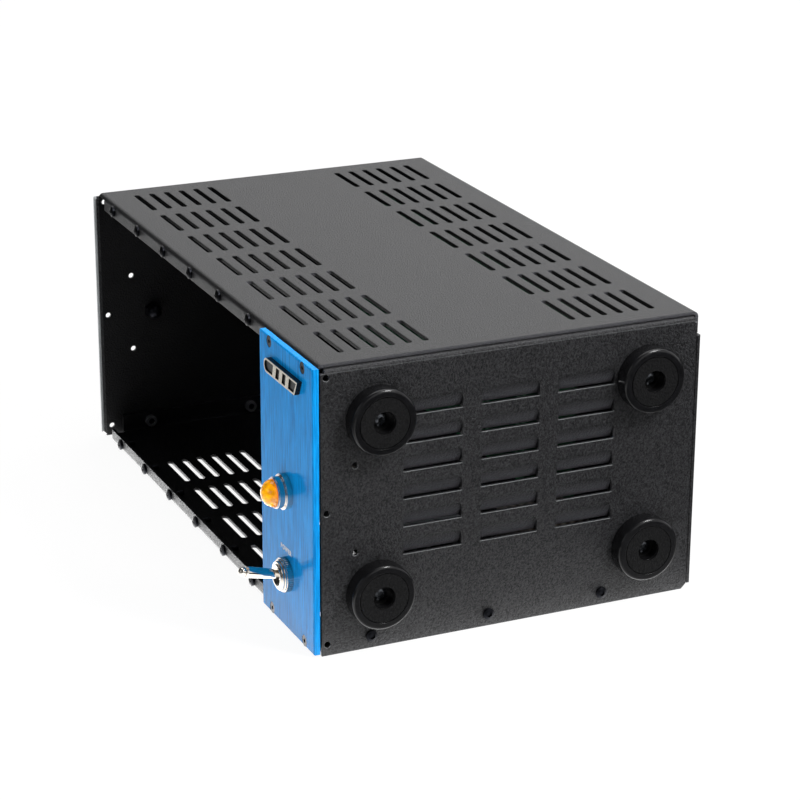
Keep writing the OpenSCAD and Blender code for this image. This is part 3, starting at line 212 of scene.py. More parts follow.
def powder_coat(looks):
    """Polyester powder coat on steel, baked to a fine grit: matt black with a broad grey sheen at low angles."""
    made, tree, shader, coords = material("powder_coat", {"IOR": 1.35})
    # the grit is about 0.4 mm across, drawn at 0.9 mm so that it shows
    grit = add(tree, "ShaderNodeTexNoise", {"Vector": coords, "Scale": per_mm(0.9), "Detail": 3.0,
                                            "Roughness": 0.7}).outputs[0]
    spread = add(tree, "ShaderNodeMapRange", {"Value": grit, "From Min": 0.38, "From Max": 0.62}).outputs[0]
    flat = vary(tree, shader, spread, shade(looks.coat, 0.4), shade(looks.coat, 1.7), rough=(0.3, 0.44))
    emboss(tree, shader, grit, depth=0.6, edge=0.7)
    # inside the closed case and the slots a painted shade mixes the coat to near black and takes away its sheen
    skin = Vector((1.2, 0.25, 0.25)) * MM
    depth = outside(tree, coords, CASE_LO + skin, CASE_HI - skin)
    within = add(tree, "ShaderNodeMapRange", {"Value": depth, "From Min": 0.0, "From Max": -0.2 * MM})
    # the sunk louvres look outward and get no painted shade
    spot = add(tree, "ShaderNodeSeparateXYZ", {"Vector": coords}).outputs
    side = add(tree, "ShaderNodeMath", {0: spot["X"]}, operation="SIGN").outputs[0]
    normal = add(tree, "ShaderNodeNewGeometry").outputs["Normal"]
    facing = add(tree, "ShaderNodeSeparateXYZ", {"Vector": normal}).outputs
    outward = add(tree, "ShaderNodeMath", {0: facing["X"], 1: side}, operation="MULTIPLY").outputs[0]
    inward = add(tree, "ShaderNodeMapRange", {"Value": outward, "From Min": 0.5, "From Max": 0.2})
    inside_shade = add(tree, "ShaderNodeMath", {0: within.outputs[0], 1: inward.outputs[0]}, operation="MULTIPLY").outputs[0]
    # painted light on the louvres' rolls: the deeper they lie, the more of a lighter copy of the coat is mixed in, so
    # they are greyer than the flat
    roll_top, roll_foot = CASE_HI.x - 0.3 * MM, CASE_HI.x - 3.2 * MM
    deep = add(tree, "ShaderNodeMapRange", {"Value": spot["X"], "From Min": roll_top, "From Max": roll_foot})
    rolled = add(tree, "ShaderNodeMapRange", {"Value": outward, "From Min": 0.5, "From Max": 0.6})
    louvre_painted_light = add(tree, "ShaderNodeMath", {0: deep.outputs[0], 1: rolled.outputs[0]}, operation="MULTIPLY")
    tone = add(tree, "ShaderNodeMix", {0: louvre_painted_light.outputs[0], 6: flat, 7: shade(looks.coat, 6.0)}, data_type="RGBA")
    # painted shade: inside the case the coat turns near black
    shaded_inside = add(tree, "ShaderNodeMix", {0: inside_shade, 6: tone.outputs[2], 7: linear("#09090b")}, data_type="RGBA")
    # the grit's hollows hide part of the sheen
    sheen = add(tree, "ShaderNodeMapRange", {"Value": spread, "To Min": 0.34, "To Max": 0.66})
    dull = add(tree, "ShaderNodeMapRange", {"Value": inside_shade, "To Min": sheen.outputs[0], "To Max": 0.2})
    # painted highlight: cut edges that look up below the cover, and the left panel's edge ahead of the modules, are
    # painted pale grey
    bevel = add(tree, "ShaderNodeBevel", {"Radius": 0.7 * MM}, samples=6)
    eased = add(tree, "ShaderNodeSeparateXYZ", {"Vector": bevel.outputs[0]}).outputs
    rise = add(tree, "ShaderNodeMapRange", {"Value": eased["Z"], "From Min": 0.12, "From Max": 0.4})
    upright = add(tree, "ShaderNodeMapRange", {"Value": facing["Z"], "From Min": 0.3, "From Max": 0.1})
    crest = add(tree, "ShaderNodeMath", {0: rise.outputs[0], 1: upright.outputs[0]}, operation="MULTIPLY")
    seam = CASE_HI.z - 1.7 * MM
    below = add(tree, "ShaderNodeMapRange", {"Value": spot["Z"], "From Min": seam, "From Max": seam - 0.3 * MM})
    shown = add(tree, "ShaderNodeMath", {0: below.outputs[0], 1: inside_shade}, operation="SUBTRACT", use_clamp=True)
    cut = add(tree, "ShaderNodeMath", {0: crest.outputs[0], 1: shown.outputs[0]}, operation="MULTIPLY")
    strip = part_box("side_panel_left")[0].y + 1.0 * MM
    front_edge_highlight = add(tree, "ShaderNodeMapRange", {"Value": spot["Y"], "From Min": strip, "From Max": strip - 0.1 * MM})
    painted_highlight = add(tree, "ShaderNodeMath", {0: cut.outputs[0], 1: front_edge_highlight.outputs[0]}, operation="MAXIMUM")
    # the painted highlight is dimmer on the right, on the louvres' slits
    right = add(tree, "ShaderNodeMapRange", {"Value": side})
    bare = add(tree, "ShaderNodeMix", {0: right.outputs[0], 6: linear("#b4b8ba"), 7: linear("#929597")},
               data_type="RGBA")
    pale = add(tree, "ShaderNodeMix", {0: painted_highlight.outputs[0], 6: shaded_inside.outputs[2], 7: bare.outputs[2]},
               data_type="RGBA")
    tree.links.new(pale.outputs[2], shader.inputs["Base Color"])
    tree.links.new(dull.outputs[0], shader.inputs["Specular IOR Level"])
    return made


def anodised_blue(looks):
    """Aluminium brushed upright, dyed blue and sealed: the dye glows from a milky oxide under a clear, shiny skin."""
    made, tree, shader, coords = material("anodised_blue", {
        "Metallic": 0.03, "Specular IOR Level": 0.0, "Anisotropic": 0.6, "Coat Weight": 0.28,
        "Coat Roughness": 0.1})
    # hairlines 0.15 mm wide and some 18 mm long, drawn at 0.75 mm so that they show
    run = add(tree, "ShaderNodeMapping", {"Vector": coords, "Scale": (per_mm(0.75), per_mm(0.75), per_mm(18))})
    hairline = add(tree, "ShaderNodeTexNoise", {"Vector": run.outputs[0], "Scale": 1.0, "Detail": 5.0,
                                                "Roughness": 0.7}).outputs[0]
    spread = add(tree, "ShaderNodeMapRange", {"Value": hairline, "From Min": 0.32, "From Max": 0.68})
    vary(tree, shader, spread.outputs[0], shade(looks.anodised, 0.58), shade(looks.anodised, 1.38),
         rough=(0.25, 0.4))
    emboss(tree, shader, hairline, depth=0.04, strength=0.3, edge=0.2)
    across = add(tree, "ShaderNodeCombineXYZ", {"X": 0.98, "Y": 0.2})
    tree.links.new(across.outputs[0], shader.inputs["Tangent"])
    return made


def badge_casting():
    """Zinc casting, enamelled black, its raised rim and bars polished back to bright metal."""
    made, tree, shader, coords = material("badge_casting", {"Specular IOR Level": 0.15})
    grain = add(tree, "ShaderNodeTexNoise", {"Vector": coords, "Scale": per_mm(0.5), "Detail": 2.0}).outputs[0]
    level = add(tree, "ShaderNodeSeparateXYZ", {"Vector": coords}).outputs["Y"]
    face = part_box("badge_plate")[0].y
    top = add(tree, "ShaderNodeMapRange", {"Value": level, "From Min": face + 0.12 * MM,
                                           "From Max": face + 0.05 * MM}).outputs[0]
    bright = add(tree, "ShaderNodeMix", {0: grain, 6: linear("#b9b4a8"), 7: linear("#e6e0d2")}, data_type="RGBA")
    tint = add(tree, "ShaderNodeMix", {0: top, 6: linear("#101113"), 7: bright.outputs[2]}, data_type="RGBA")
    tree.links.new(tint.outputs[2], shader.inputs["Base Color"])
    tree.links.new(top, shader.inputs["Metallic"])
    gloss = add(tree, "ShaderNodeMapRange", {"Value": grain, "To Min": 0.22, "To Max": 0.36})
    tree.links.new(gloss.outputs[0], shader.inputs["Roughness"])
    emboss(tree, shader, grain, depth=0.02, strength=0.3, edge=0.12)
    return made


def bright_chrome(looks):
    """Brass, polished and chrome plated: a near mirror with faint polishing haze."""
    made, tree, shader, coords = material("bright_chrome", {"Metallic": 1.0})
    haze = add(tree, "ShaderNodeTexNoise", {"Vector": coords, "Scale": per_mm(2.5), "Detail": 4.0}).outputs[0]
    vary(tree, shader, haze, shade(looks.chrome, 0.93), looks.chrome, rough=(0.04, 0.12))
    emboss(tree, shader, haze, depth=0.01, strength=0.15, edge=0.15)
    return made


def amber_glass(looks):
    """Pressed amber glass, backed by a lamp, with a painted glow: clear gloss outside, yellow at its crown, deeper
    orange at its seat.
    """
    made, tree, shader, coords = material("amber_glass", {
        "IOR": 1.5, "Coat Weight": 0.5, "Coat Roughness": 0.05, "Subsurface Weight": 0.3,
        "Subsurface Radius": (0.006, 0.002, 0.0004), "Subsurface Scale": 1.0})
    swirl = add(tree, "ShaderNodeTexVoronoi", {"Vector": coords, "Scale": per_mm(1.8)},
                feature="SMOOTH_F1").outputs[0]
    vary(tree, shader, swirl, looks.amber, shade(looks.amber, 0.7), rough=(0.08, 0.2))
    level = add(tree, "ShaderNodeSeparateXYZ", {"Vector": coords}).outputs["Y"]
    depth = add(tree, "ShaderNodeMapRange", {"Value": level, "From Min": JEWEL_LO.y + 1.5 * MM,
                                             "From Max": BEZEL_FRONT})
    # painted glow, yellow at the crown and deeper orange at the seat
    glow = add(tree, "ShaderNodeMix", {0: depth.outputs[0], 6: linear("#ffc400"), 7: linear("#f07800")},
               data_type="RGBA")
    tree.links.new(glow.outputs[2], shader.inputs["Emission Color"])
    # painted glints: the glow is bright in cells with dark rims, as the pressed facets would throw light about
    painted_glints = add(tree, "ShaderNodeMapRange", {"Value": swirl, "From Min": 0.1, "From Max": 0.6,
                                             "To Min": 0.85, "To Max": 0.25})
    tree.links.new(painted_glints.outputs[0], shader.inputs["Emission Strength"])
    return made


def moulded(name, dark, light, rough, grain, depth, edge=0.25, sockets=None):
    """Moulded plastic or rubber: two close tones, a spread of gloss and a grain of this size in mm."""
    made, tree, shader, coords = material(name, sockets)
    texture = add(tree, "ShaderNodeTexNoise", {"Vector": coords, "Scale": per_mm(grain), "Detail": 3.0}).outputs[0]
    vary(tree, shader, texture, linear(dark), linear(light), rough)
    emboss(tree, shader, texture, depth, strength=0.5, edge=edge)
    return made


def foot_pad_rubber():
    """Neoprene pad pressed against cloth: dull black with a close pebble of 0.9 mm."""
    made, tree, shader, coords = material("foot_pad_rubber", {"Specular IOR Level": 0.14})
    pebble = add(tree, "ShaderNodeTexVoronoi", {"Vector": coords, "Scale": per_mm(0.9)}).outputs[0]
    vary(tree, shader, pebble, linear("#161617"), linear("#060607"), rough=(0.5, 0.8))
    emboss(tree, shader, pebble, depth=0.3, strength=0.9)
    return made


def plated(name, dark, light, rough, patch, edge=0.15):
    """Plated or blackened steel: metal with cloudy patches of this size in mm."""
    made, tree, shader, coords = material(name, {"Metallic": 1.0})
    cloud = add(tree, "ShaderNodeTexNoise", {"Vector": coords, "Scale": per_mm(patch), "Detail": 5.0}).outputs[0]
    vary(tree, shader, cloud, dark, light, rough)
    emboss(tree, shader, cloud, depth=0.02, strength=0.3, edge=edge)
    return made


def printed_board(looks):
    """Glass-fibre board under green solder mask: glossy, with copper tracks showing as raised paler lines."""
    made, tree, shader, coords = material("printed_board", {"Coat Weight": 0.5, "Coat Roughness": 0.15})
    # broad tracks 15.7 mm apart, broken up by patches of 16 mm so that they start and stop
    across = add(tree, "ShaderNodeTexWave", {"Vector": coords, "Scale": WAVE * per_mm(15.708), "Distortion": 0.0},
                 bands_direction="Z", wave_profile="SAW")
    patch = add(tree, "ShaderNodeTexVoronoi", {"Vector": coords, "Scale": per_mm(16)}, distance="MANHATTAN")
    line = add(tree, "ShaderNodeMapRange", {"Value": across.outputs["Fac"], "From Min": 0.62, "From Max": 0.68})
    field = add(tree, "ShaderNodeMapRange", {"Value": patch.outputs["Distance"], "From Min": 0.42,
                                             "From Max": 0.44})
    track = add(tree, "ShaderNodeMath", {0: line.outputs[0], 1: field.outputs[0]}, operation="MULTIPLY").outputs[0]
    vary(tree, shader, track, shade(looks.mask, 0.7), shade(looks.mask, 1.35), rough=(0.3, 0.36))
    emboss(tree, shader, track, depth=0.04, strength=0.6)
    return made


def transformer_stack():
    """Varnished steel laminations, with the wound bobbin's dark tape standing out at both ends."""
    made, tree, shader, coords = material("transformer_stack")
    lo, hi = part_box("psu_transformer")
    # the laminations are 0.5 mm thick, drawn at 4.4 mm so that they show
    layer = add(tree, "ShaderNodeTexWave", {"Vector": coords, "Scale": WAVE * per_mm(4.3982), "Distortion": 0.4},
                bands_direction="Y").outputs["Fac"]
    steel = add(tree, "ShaderNodeMix", {0: layer, 6: linear("#3b352e"), 7: linear("#77706a")}, data_type="RGBA")
    weave = add(tree, "ShaderNodeTexNoise", {"Vector": coords, "Scale": per_mm(1.2), "Detail": 2.0}).outputs[0]
    tape = add(tree, "ShaderNodeMix", {0: weave, 6: linear("#2b2723"), 7: linear("#4a443d")}, data_type="RGBA")
    depth = add(tree, "ShaderNodeSeparateXYZ", {"Vector": coords}).outputs["Y"]
    off = add(tree, "ShaderNodeMath", {0: depth, 1: (lo.y + hi.y) / 2}, operation="SUBTRACT")
    away = add(tree, "ShaderNodeMath", {0: off.outputs[0]}, operation="ABSOLUTE")
    tape_stands = 3.0 * MM
    core = (hi.y - lo.y) / 2 - tape_stands
    ends = add(tree, "ShaderNodeMapRange", {"Value": away.outputs[0], "From Min": core + 0.1 * MM,
                                            "From Max": core + 0.2 * MM})
    tint = add(tree, "ShaderNodeMix", {0: ends.outputs[0], 6: steel.outputs[2], 7: tape.outputs[2]},
               data_type="RGBA")
    tree.links.new(tint.outputs[2], shader.inputs["Base Color"])
    gloss = add(tree, "ShaderNodeMapRange", {"Value": weave, "To Min": 0.3, "To Max": 0.5})
    tree.links.new(gloss.outputs[0], shader.inputs["Roughness"])
    emboss(tree, shader, layer, depth=0.08, strength=0.6, edge=0.3)
    return made


def capacitor_can():
    """Shrunk vinyl sleeve over an aluminium can: glossy dark blue, the can's bare end on top."""
    made, tree, shader, coords = material("capacitor_can")
    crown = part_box("psu_capacitors")[1].z
    stripe_edge = middle("psu_capacitors").x - 7.4 * MM
    level = add(tree, "ShaderNodeSeparateXYZ", {"Vector": coords}).outputs
    end = add(tree, "ShaderNodeMapRange", {"Value": level["Z"], "From Min": crown - 0.25 * MM,
                                           "From Max": crown - 0.2 * MM}).outputs[0]
    stripe = add(tree, "ShaderNodeMapRange", {"Value": level["X"], "From Min": stripe_edge,
                                              "From Max": stripe_edge - 0.1 * MM})
    cloud = add(tree, "ShaderNodeTexNoise", {"Vector": coords, "Scale": per_mm(3), "Detail": 3.0}).outputs[0]
    vinyl = add(tree, "ShaderNodeMix", {0: stripe.outputs[0], 6: linear("#17182a"), 7: linear("#8f93a3")},
                data_type="RGBA")
    tint = add(tree, "ShaderNodeMix", {0: end, 6: vinyl.outputs[2], 7: linear("#b9bcc0")}, data_type="RGBA")
    tree.links.new(tint.outputs[2], shader.inputs["Base Color"])
    tree.links.new(end, shader.inputs["Metallic"])
    gloss = add(tree, "ShaderNodeMapRange", {"Value": cloud, "To Min": 0.2, "To Max": 0.4})
    tree.links.new(gloss.outputs[0], shader.inputs["Roughness"])
    emboss(tree, shader, cloud, depth=0.06, strength=0.4, edge=0.6)
    return made


def strap_rubber(looks):
    """Moulded rubber strap over a steel band: dull black with a fine grain and soft cross waves 19 mm apart."""
    made, tree, shader, coords = material("strap_rubber", {"Specular IOR Level": 0.35})
    rib = add(tree, "ShaderNodeTexWave", {"Vector": coords, "Scale": WAVE * per_mm(18.8496), "Distortion": 0.0},
              bands_direction="Y").outputs["Fac"]
    grain = add(tree, "ShaderNodeTexNoise", {"Vector": coords, "Scale": per_mm(0.6), "Detail": 2.0}).outputs[0]
    vary(tree, shader, grain, shade(looks.strap, 0.7), shade(looks.strap, 1.5), rough=(0.5, 0.7))
    both = add(tree, "ShaderNodeMath", {0: grain, 1: 0.25, 2: rib}, operation="MULTIPLY_ADD")
    emboss(tree, shader, both.outputs[0], depth=0.35, strength=0.6, edge=0.6)
    return made


def print_ink(looks):
    """Screen ink: matt off-white, slightly uneven in coverage."""
    made, tree, shader, coords = material("print_ink", {"Specular IOR Level": 0.3})
    cover = add(tree, "ShaderNodeTexNoise", {"Vector": coords, "Scale": per_mm(0.4), "Detail": 2.0}).outputs[0]
    vary(tree, shader, cover, shade(looks.legend, 0.85), looks.legend, rough=(0.55, 0.7))
    return made


def gold_plate(looks):
    """Gold flash over nickel: warm, with a soft rolled sheen."""
    return plated("gold_plate", shade(looks.gold, 0.8), looks.gold, rough=(0.2, 0.34), patch=1.5, edge=0.08)


def dress(finish, *nodes):
    """Give CAD nodes a finish."""
    for name in nodes:
        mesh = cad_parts[name].data
        mesh.materials.clear()
        mesh.materials.append(finish)


def place(name, mesh, finish):
    """Link a finished mesh as a piece of the case."""
    obj = bpy.data.objects.new(name, mesh)
    bpy.context.scene.collection.objects.link(obj)
    if finish and not mesh.materials:
        mesh.materials.append(finish)
    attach(obj, CASE)
    return obj


def geometry_tree(name, sizes):
    """Start a geometry tree with named size inputs: the tree and its input node."""
    tree = bpy.data.node_groups.new(name, "GeometryNodeTree")
    tree.interface.new_socket("Geometry", in_out="OUTPUT", socket_type="NodeSocketGeometry")
    tree.interface.new_socket("Geometry", in_out="INPUT", socket_type="NodeSocketGeometry")
    for label, value in sizes.items():
        kind = "NodeSocketInt" if isinstance(value, int) else "NodeSocketFloat"
        tree.interface.new_socket(label, in_out="INPUT", socket_type=kind)
    return tree, add(tree, "NodeGroupInput")


def finish_tree(tree, geometry, finish):
    """End a geometry tree in plain geometry that carries its finish."""
    real = add(tree, "GeometryNodeRealizeInstances", {"Geometry": geometry})
    done = add(tree, "GeometryNodeSetMaterial", {"Geometry": real.outputs[0], "Material": finish})
    add(tree, "NodeGroupOutput", {"Geometry": done.outputs[0]})


def grow(name, tree, sizes, points):
    """Run a geometry tree on points and keep the outcome as a plain mesh."""
    seed = bpy.data.meshes.new(name + "_points")
    seed.from_pydata([tuple(p) for p in points], [], [])
    carrier = bpy.data.objects.new(name + "_carrier", seed)
    bpy.context.scene.collection.objects.link(carrier)
    modifier = carrier.modifiers.new("grow", "NODES")
    modifier.node_group = tree
    for item in tree.interface.items_tree:
        if item.in_out == "INPUT" and item.name in sizes:
            modifier[item.identifier] = sizes[item.name]
    evaluated = carrier.evaluated_get(bpy.context.evaluated_depsgraph_get())
    mesh = bpy.data.meshes.new_from_object(evaluated)
    mesh.name = name
    bpy.data.objects.remove(carrier)
    bpy.data.meshes.remove(seed)
    return mesh


def boxes(name, sizes, ease):
    """One mesh of boxes, each given by its low and high corner, with their edges eased by ease mm."""
    shape = bmesh.new()
    for lo, hi in sizes:
        span = Matrix.Diagonal((*(hi - lo), 1))
        bmesh.ops.create_cube(shape, size=1, matrix=Matrix.Translation((lo + hi) / 2) @ span)
    bmesh.ops.bevel(shape, geom=shape.edges[:], offset=ease * MM, segments=2, affect="EDGES", profile=0.5)
    bmesh.ops.recalc_face_normals(shape, faces=shape.faces[:])
    mesh = bpy.data.meshes.new(name)
    shape.to_mesh(mesh)
    shape.free()
    return mesh


def contact_points(nodes, circle, depth):
    """Three contact places in each of these round connectors, the first on top, at this depth."""
    points = []
    for node in nodes:
        centre = middle(node)
        for degrees in (90, 210, 330):
            turn = math.radians(degrees)
            points.append((centre.x + circle * math.cos(turn), depth, centre.z + circle * math.sin(turn)))
    return points


def words(text, height, spot, facing, spacing=1.0, weight=0.0):
    """Mesh of a word on a face, its letters this high, centred on spot and read from in front of the face."""
    curve = bpy.data.curves.new("word", "FONT")
    curve.body = text
    curve.align_x = "CENTER"
    curve.align_y = "CENTER"
    curve.size = height / CAPITAL
    curve.space_character = spacing
    curve.offset = weight
    curve.extrude = INK
    curve.resolution_u = 3
    carrier = bpy.data.objects.new("word", curve)
    bpy.context.scene.collection.objects.link(carrier)
    mesh = bpy.data.meshes.new_from_object(carrier.evaluated_get(bpy.context.evaluated_depsgraph_get()))
    upright = Matrix.Rotation(math.radians(90), 4, "X")
    turned = Matrix.Rotation(math.radians(180 if facing > 0 else 0), 4, "Z")
    mesh.transform(Matrix.Translation(spot) @ turned @ upright)
    bpy.data.objects.remove(carrier)
    return mesh


def joined(name, meshes):
    """One mesh from several."""
    shape = bmesh.new()
    for mesh in meshes:
        shape.from_mesh(mesh)
        bpy.data.meshes.remove(mesh)
    whole = bpy.data.meshes.new(name)
    shape.to_mesh(whole)
    shape.free()
    return whole


class RACK_OT_case(bpy.types.Operator):
    """Finish the folded case, its screws and its nuts."""

    bl_idname = "rack.case"
    bl_label = "Case"

    def execute(self, context):
        looks = context.scene.rack_colours
        dress(powder_coat(looks), "top_cover", "side_panel_left", "side_panel_right", "chassis_tray")
        # steel screws, blackened in a hot bath: near black, with a dull metal gleam
        blackened = plated("blackened_steel", linear("#0d0d0f"), linear("#222327"), rough=(0.3, 0.45), patch=1.5)
        dress(blackened, "power_panel_screws", "module_screws", "side_screws", "rear_screws",
              "connector_screws", "handle_nuts")
        # zinc-plated steel: pale grey metal with soft clouds
        zinc = plated("zinc_plate", shade(looks.zinc, 0.75), looks.zinc, rough=(0.28, 0.45), patch=2.0)
        dress(zinc, "clinch_nuts", "lamp_nut", "toggle_back_nut", "foot_nuts", "backplane_standoffs",
              "psu_standoffs")
        return {"FINISHED"}


class RACK_OT_feet(bpy.types.Operator):
    """Finish the feet, their pads and their screws."""

    bl_idname = "rack.feet"
    bl_label = "Feet"

    def execute(self, context):
        # turned nylon bodies: black, with a low polish that catches the light on the rounded rim
        nylon = moulded("foot_nylon", "#0a0a0b", "#161618", rough=(0.16, 0.26), grain=4.0, depth=0.05, edge=0.3,
                        sockets={"Specular IOR Level": 0.28})
        dress(nylon, "foot_1", "foot_2", "foot_3", "foot_4")
        dress(foot_pad_rubber(), "foot_pads")
        # oiled alloy steel: dark grey, with a sharp gleam in the socket
        steel = plated("socket_steel", linear("#2c2d30"), linear("#55585c"), rough=(0.18, 0.3), patch=1.2)
        dress(steel, "foot_screws")
        return {"FINISHED"}


class RACK_OT_panel(bpy.types.Operator):
    """Finish the power panel and its badge, and print its word."""

    bl_idname = "rack.panel"
    bl_label = "Power panel"

    # the word's place from the switch's axis
    WORD_SHIFT = Vector((-1.2, 0, 11.3)) * MM

    def execute(self, context):
        looks = context.scene.rack_colours
        sizes = context.scene.rack_sizes
        dress(anodised_blue(looks), "power_panel")
        dress(badge_casting(), "badge_plate")
        switch = middle("toggle_bushing")
        spot = Vector((switch.x, PANEL_FRONT - INK, switch.z)) + self.WORD_SHIFT
        word = words("POWER", sizes.legend_height, spot, facing=-1, spacing=1.3, weight=0.2 * MM)
        word.name = "power_legend"
        place("power_legend", word, print_ink(looks))
        return {"FINISHED"}


class RACK_OT_lamp(bpy.types.Operator):
    """Cut the lamp's jewel, and finish its holder, the switch and the handle's bright screws."""

    bl_idname = "rack.lamp"
    bl_label = "Lamp"

    # rings of the jewel from its seat to its crown: share of the radius, share of the dome's height
    RINGS = ((1.0, 0.0), (0.99, 0.16), (0.93, 0.36), (0.83, 0.55), (0.69, 0.72), (0.5, 0.86), (0.28, 0.96),
             (0.1, 1.0))
    # play between the jewel and its bezel
    PLAY = 0.02 * MM

    def execute(self, context):
        looks = context.scene.rack_colours
        sides = context.scene.rack_sizes.jewel_sides
        axis = middle("lamp_lens")
        radius = (JEWEL_HI.x - JEWEL_LO.x) / 2 - self.PLAY
        dome = BEZEL_FRONT - JEWEL_LO.y
        shape = bmesh.new()
        rings = []
        heights = [(1.0, JEWEL_HI.y)] + [(share, BEZEL_FRONT - dome * rise) for share, rise in self.RINGS]
        for level, (share, depth) in enumerate(heights):
            ring = []
            for k in range(sides):
                turn = 2 * math.pi * (k + level / 2) / sides
                ring.append(shape.verts.new((axis.x + radius * share * math.cos(turn), depth,
                                             axis.z + radius * share * math.sin(turn))))
            rings.append(ring)
        for low, high in zip(rings, rings[1:]):
            for k in range(sides):
                after = (k + 1) % sides
                shape.faces.new((low[k], low[after], high[k]))
                shape.faces.new((low[after], high[after], high[k]))
        shape.faces.new(rings[0])
        shape.faces.new(rings[-1])
        bmesh.ops.recalc_face_normals(shape, faces=shape.faces[:])
        mesh = bpy.data.meshes.new("lamp_jewel")
        shape.to_mesh(mesh)
        shape.free()
        jewel = place("lamp_jewel", mesh, amber_glass(looks))
        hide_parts("lamp_lens")
        chrome = bright_chrome(looks)
        dress(chrome, "lamp_bezel", "toggle_bushing", "toggle_washer", "toggle_nut", "toggle_lever",
              "handle_screws")
        # phenolic mouldings: dark brown, filled with wood flour that shows as flecks
        phenolic = moulded("phenolic", "#241c18", "#3a2e27", rough=(0.35, 0.5), grain=1.0, depth=0.04)
        dress(phenolic, "lamp_body", "toggle_body")
        return {"FINISHED"}


class RACK_OT_switch(bpy.types.Operator):
    """Tin the solder tags of the lamp and the switch behind the panel."""

    bl_idname = "rack.switch"
    bl_label = "Switch"

    # half sizes of the tags, their distance from the axis and how far ahead of the bodies' ends they are centred
    LAMP_TAG = Vector((1.3, 3.55, 0.5)) * MM
    LAMP_STEP = 2.89 * MM
    LAMP_AHEAD = 3.4 * MM
    SWITCH_TAG = Vector((3.1, 4.35, 0.5)) * MM
    SWITCH_STEP = 8.4 * MM
    SWITCH_AHEAD = 4.2 * MM

    def execute(self, context):
        tags = []
        lamp = middle("lamp_body")
        lamp_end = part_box("lamp_body")[1].y
        for side in (-1, 1):
            centre = Vector((lamp.x + side * self.LAMP_STEP, lamp_end - self.LAMP_AHEAD, lamp.z))
            tags.append((centre - self.LAMP_TAG, centre + self.LAMP_TAG))
        switch = middle("toggle_body")
        switch_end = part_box("toggle_body")[1].y
        for row in (-1, 0, 1):
            centre = Vector((switch.x, switch_end - self.SWITCH_AHEAD, switch.z + row * self.SWITCH_STEP))
            tags.append((centre - self.SWITCH_TAG, centre + self.SWITCH_TAG))
        # hot-tinned brass: soft silver with a warm cast
        tin = plated("tinned_brass", linear("#a9a59a"), linear("#cfccc2"), rough=(0.25, 0.42), patch=1.0, edge=0)
        place("solder_tags", boxes("solder_tags", tags, ease=0.15), tin)
        return {"FINISHED"}


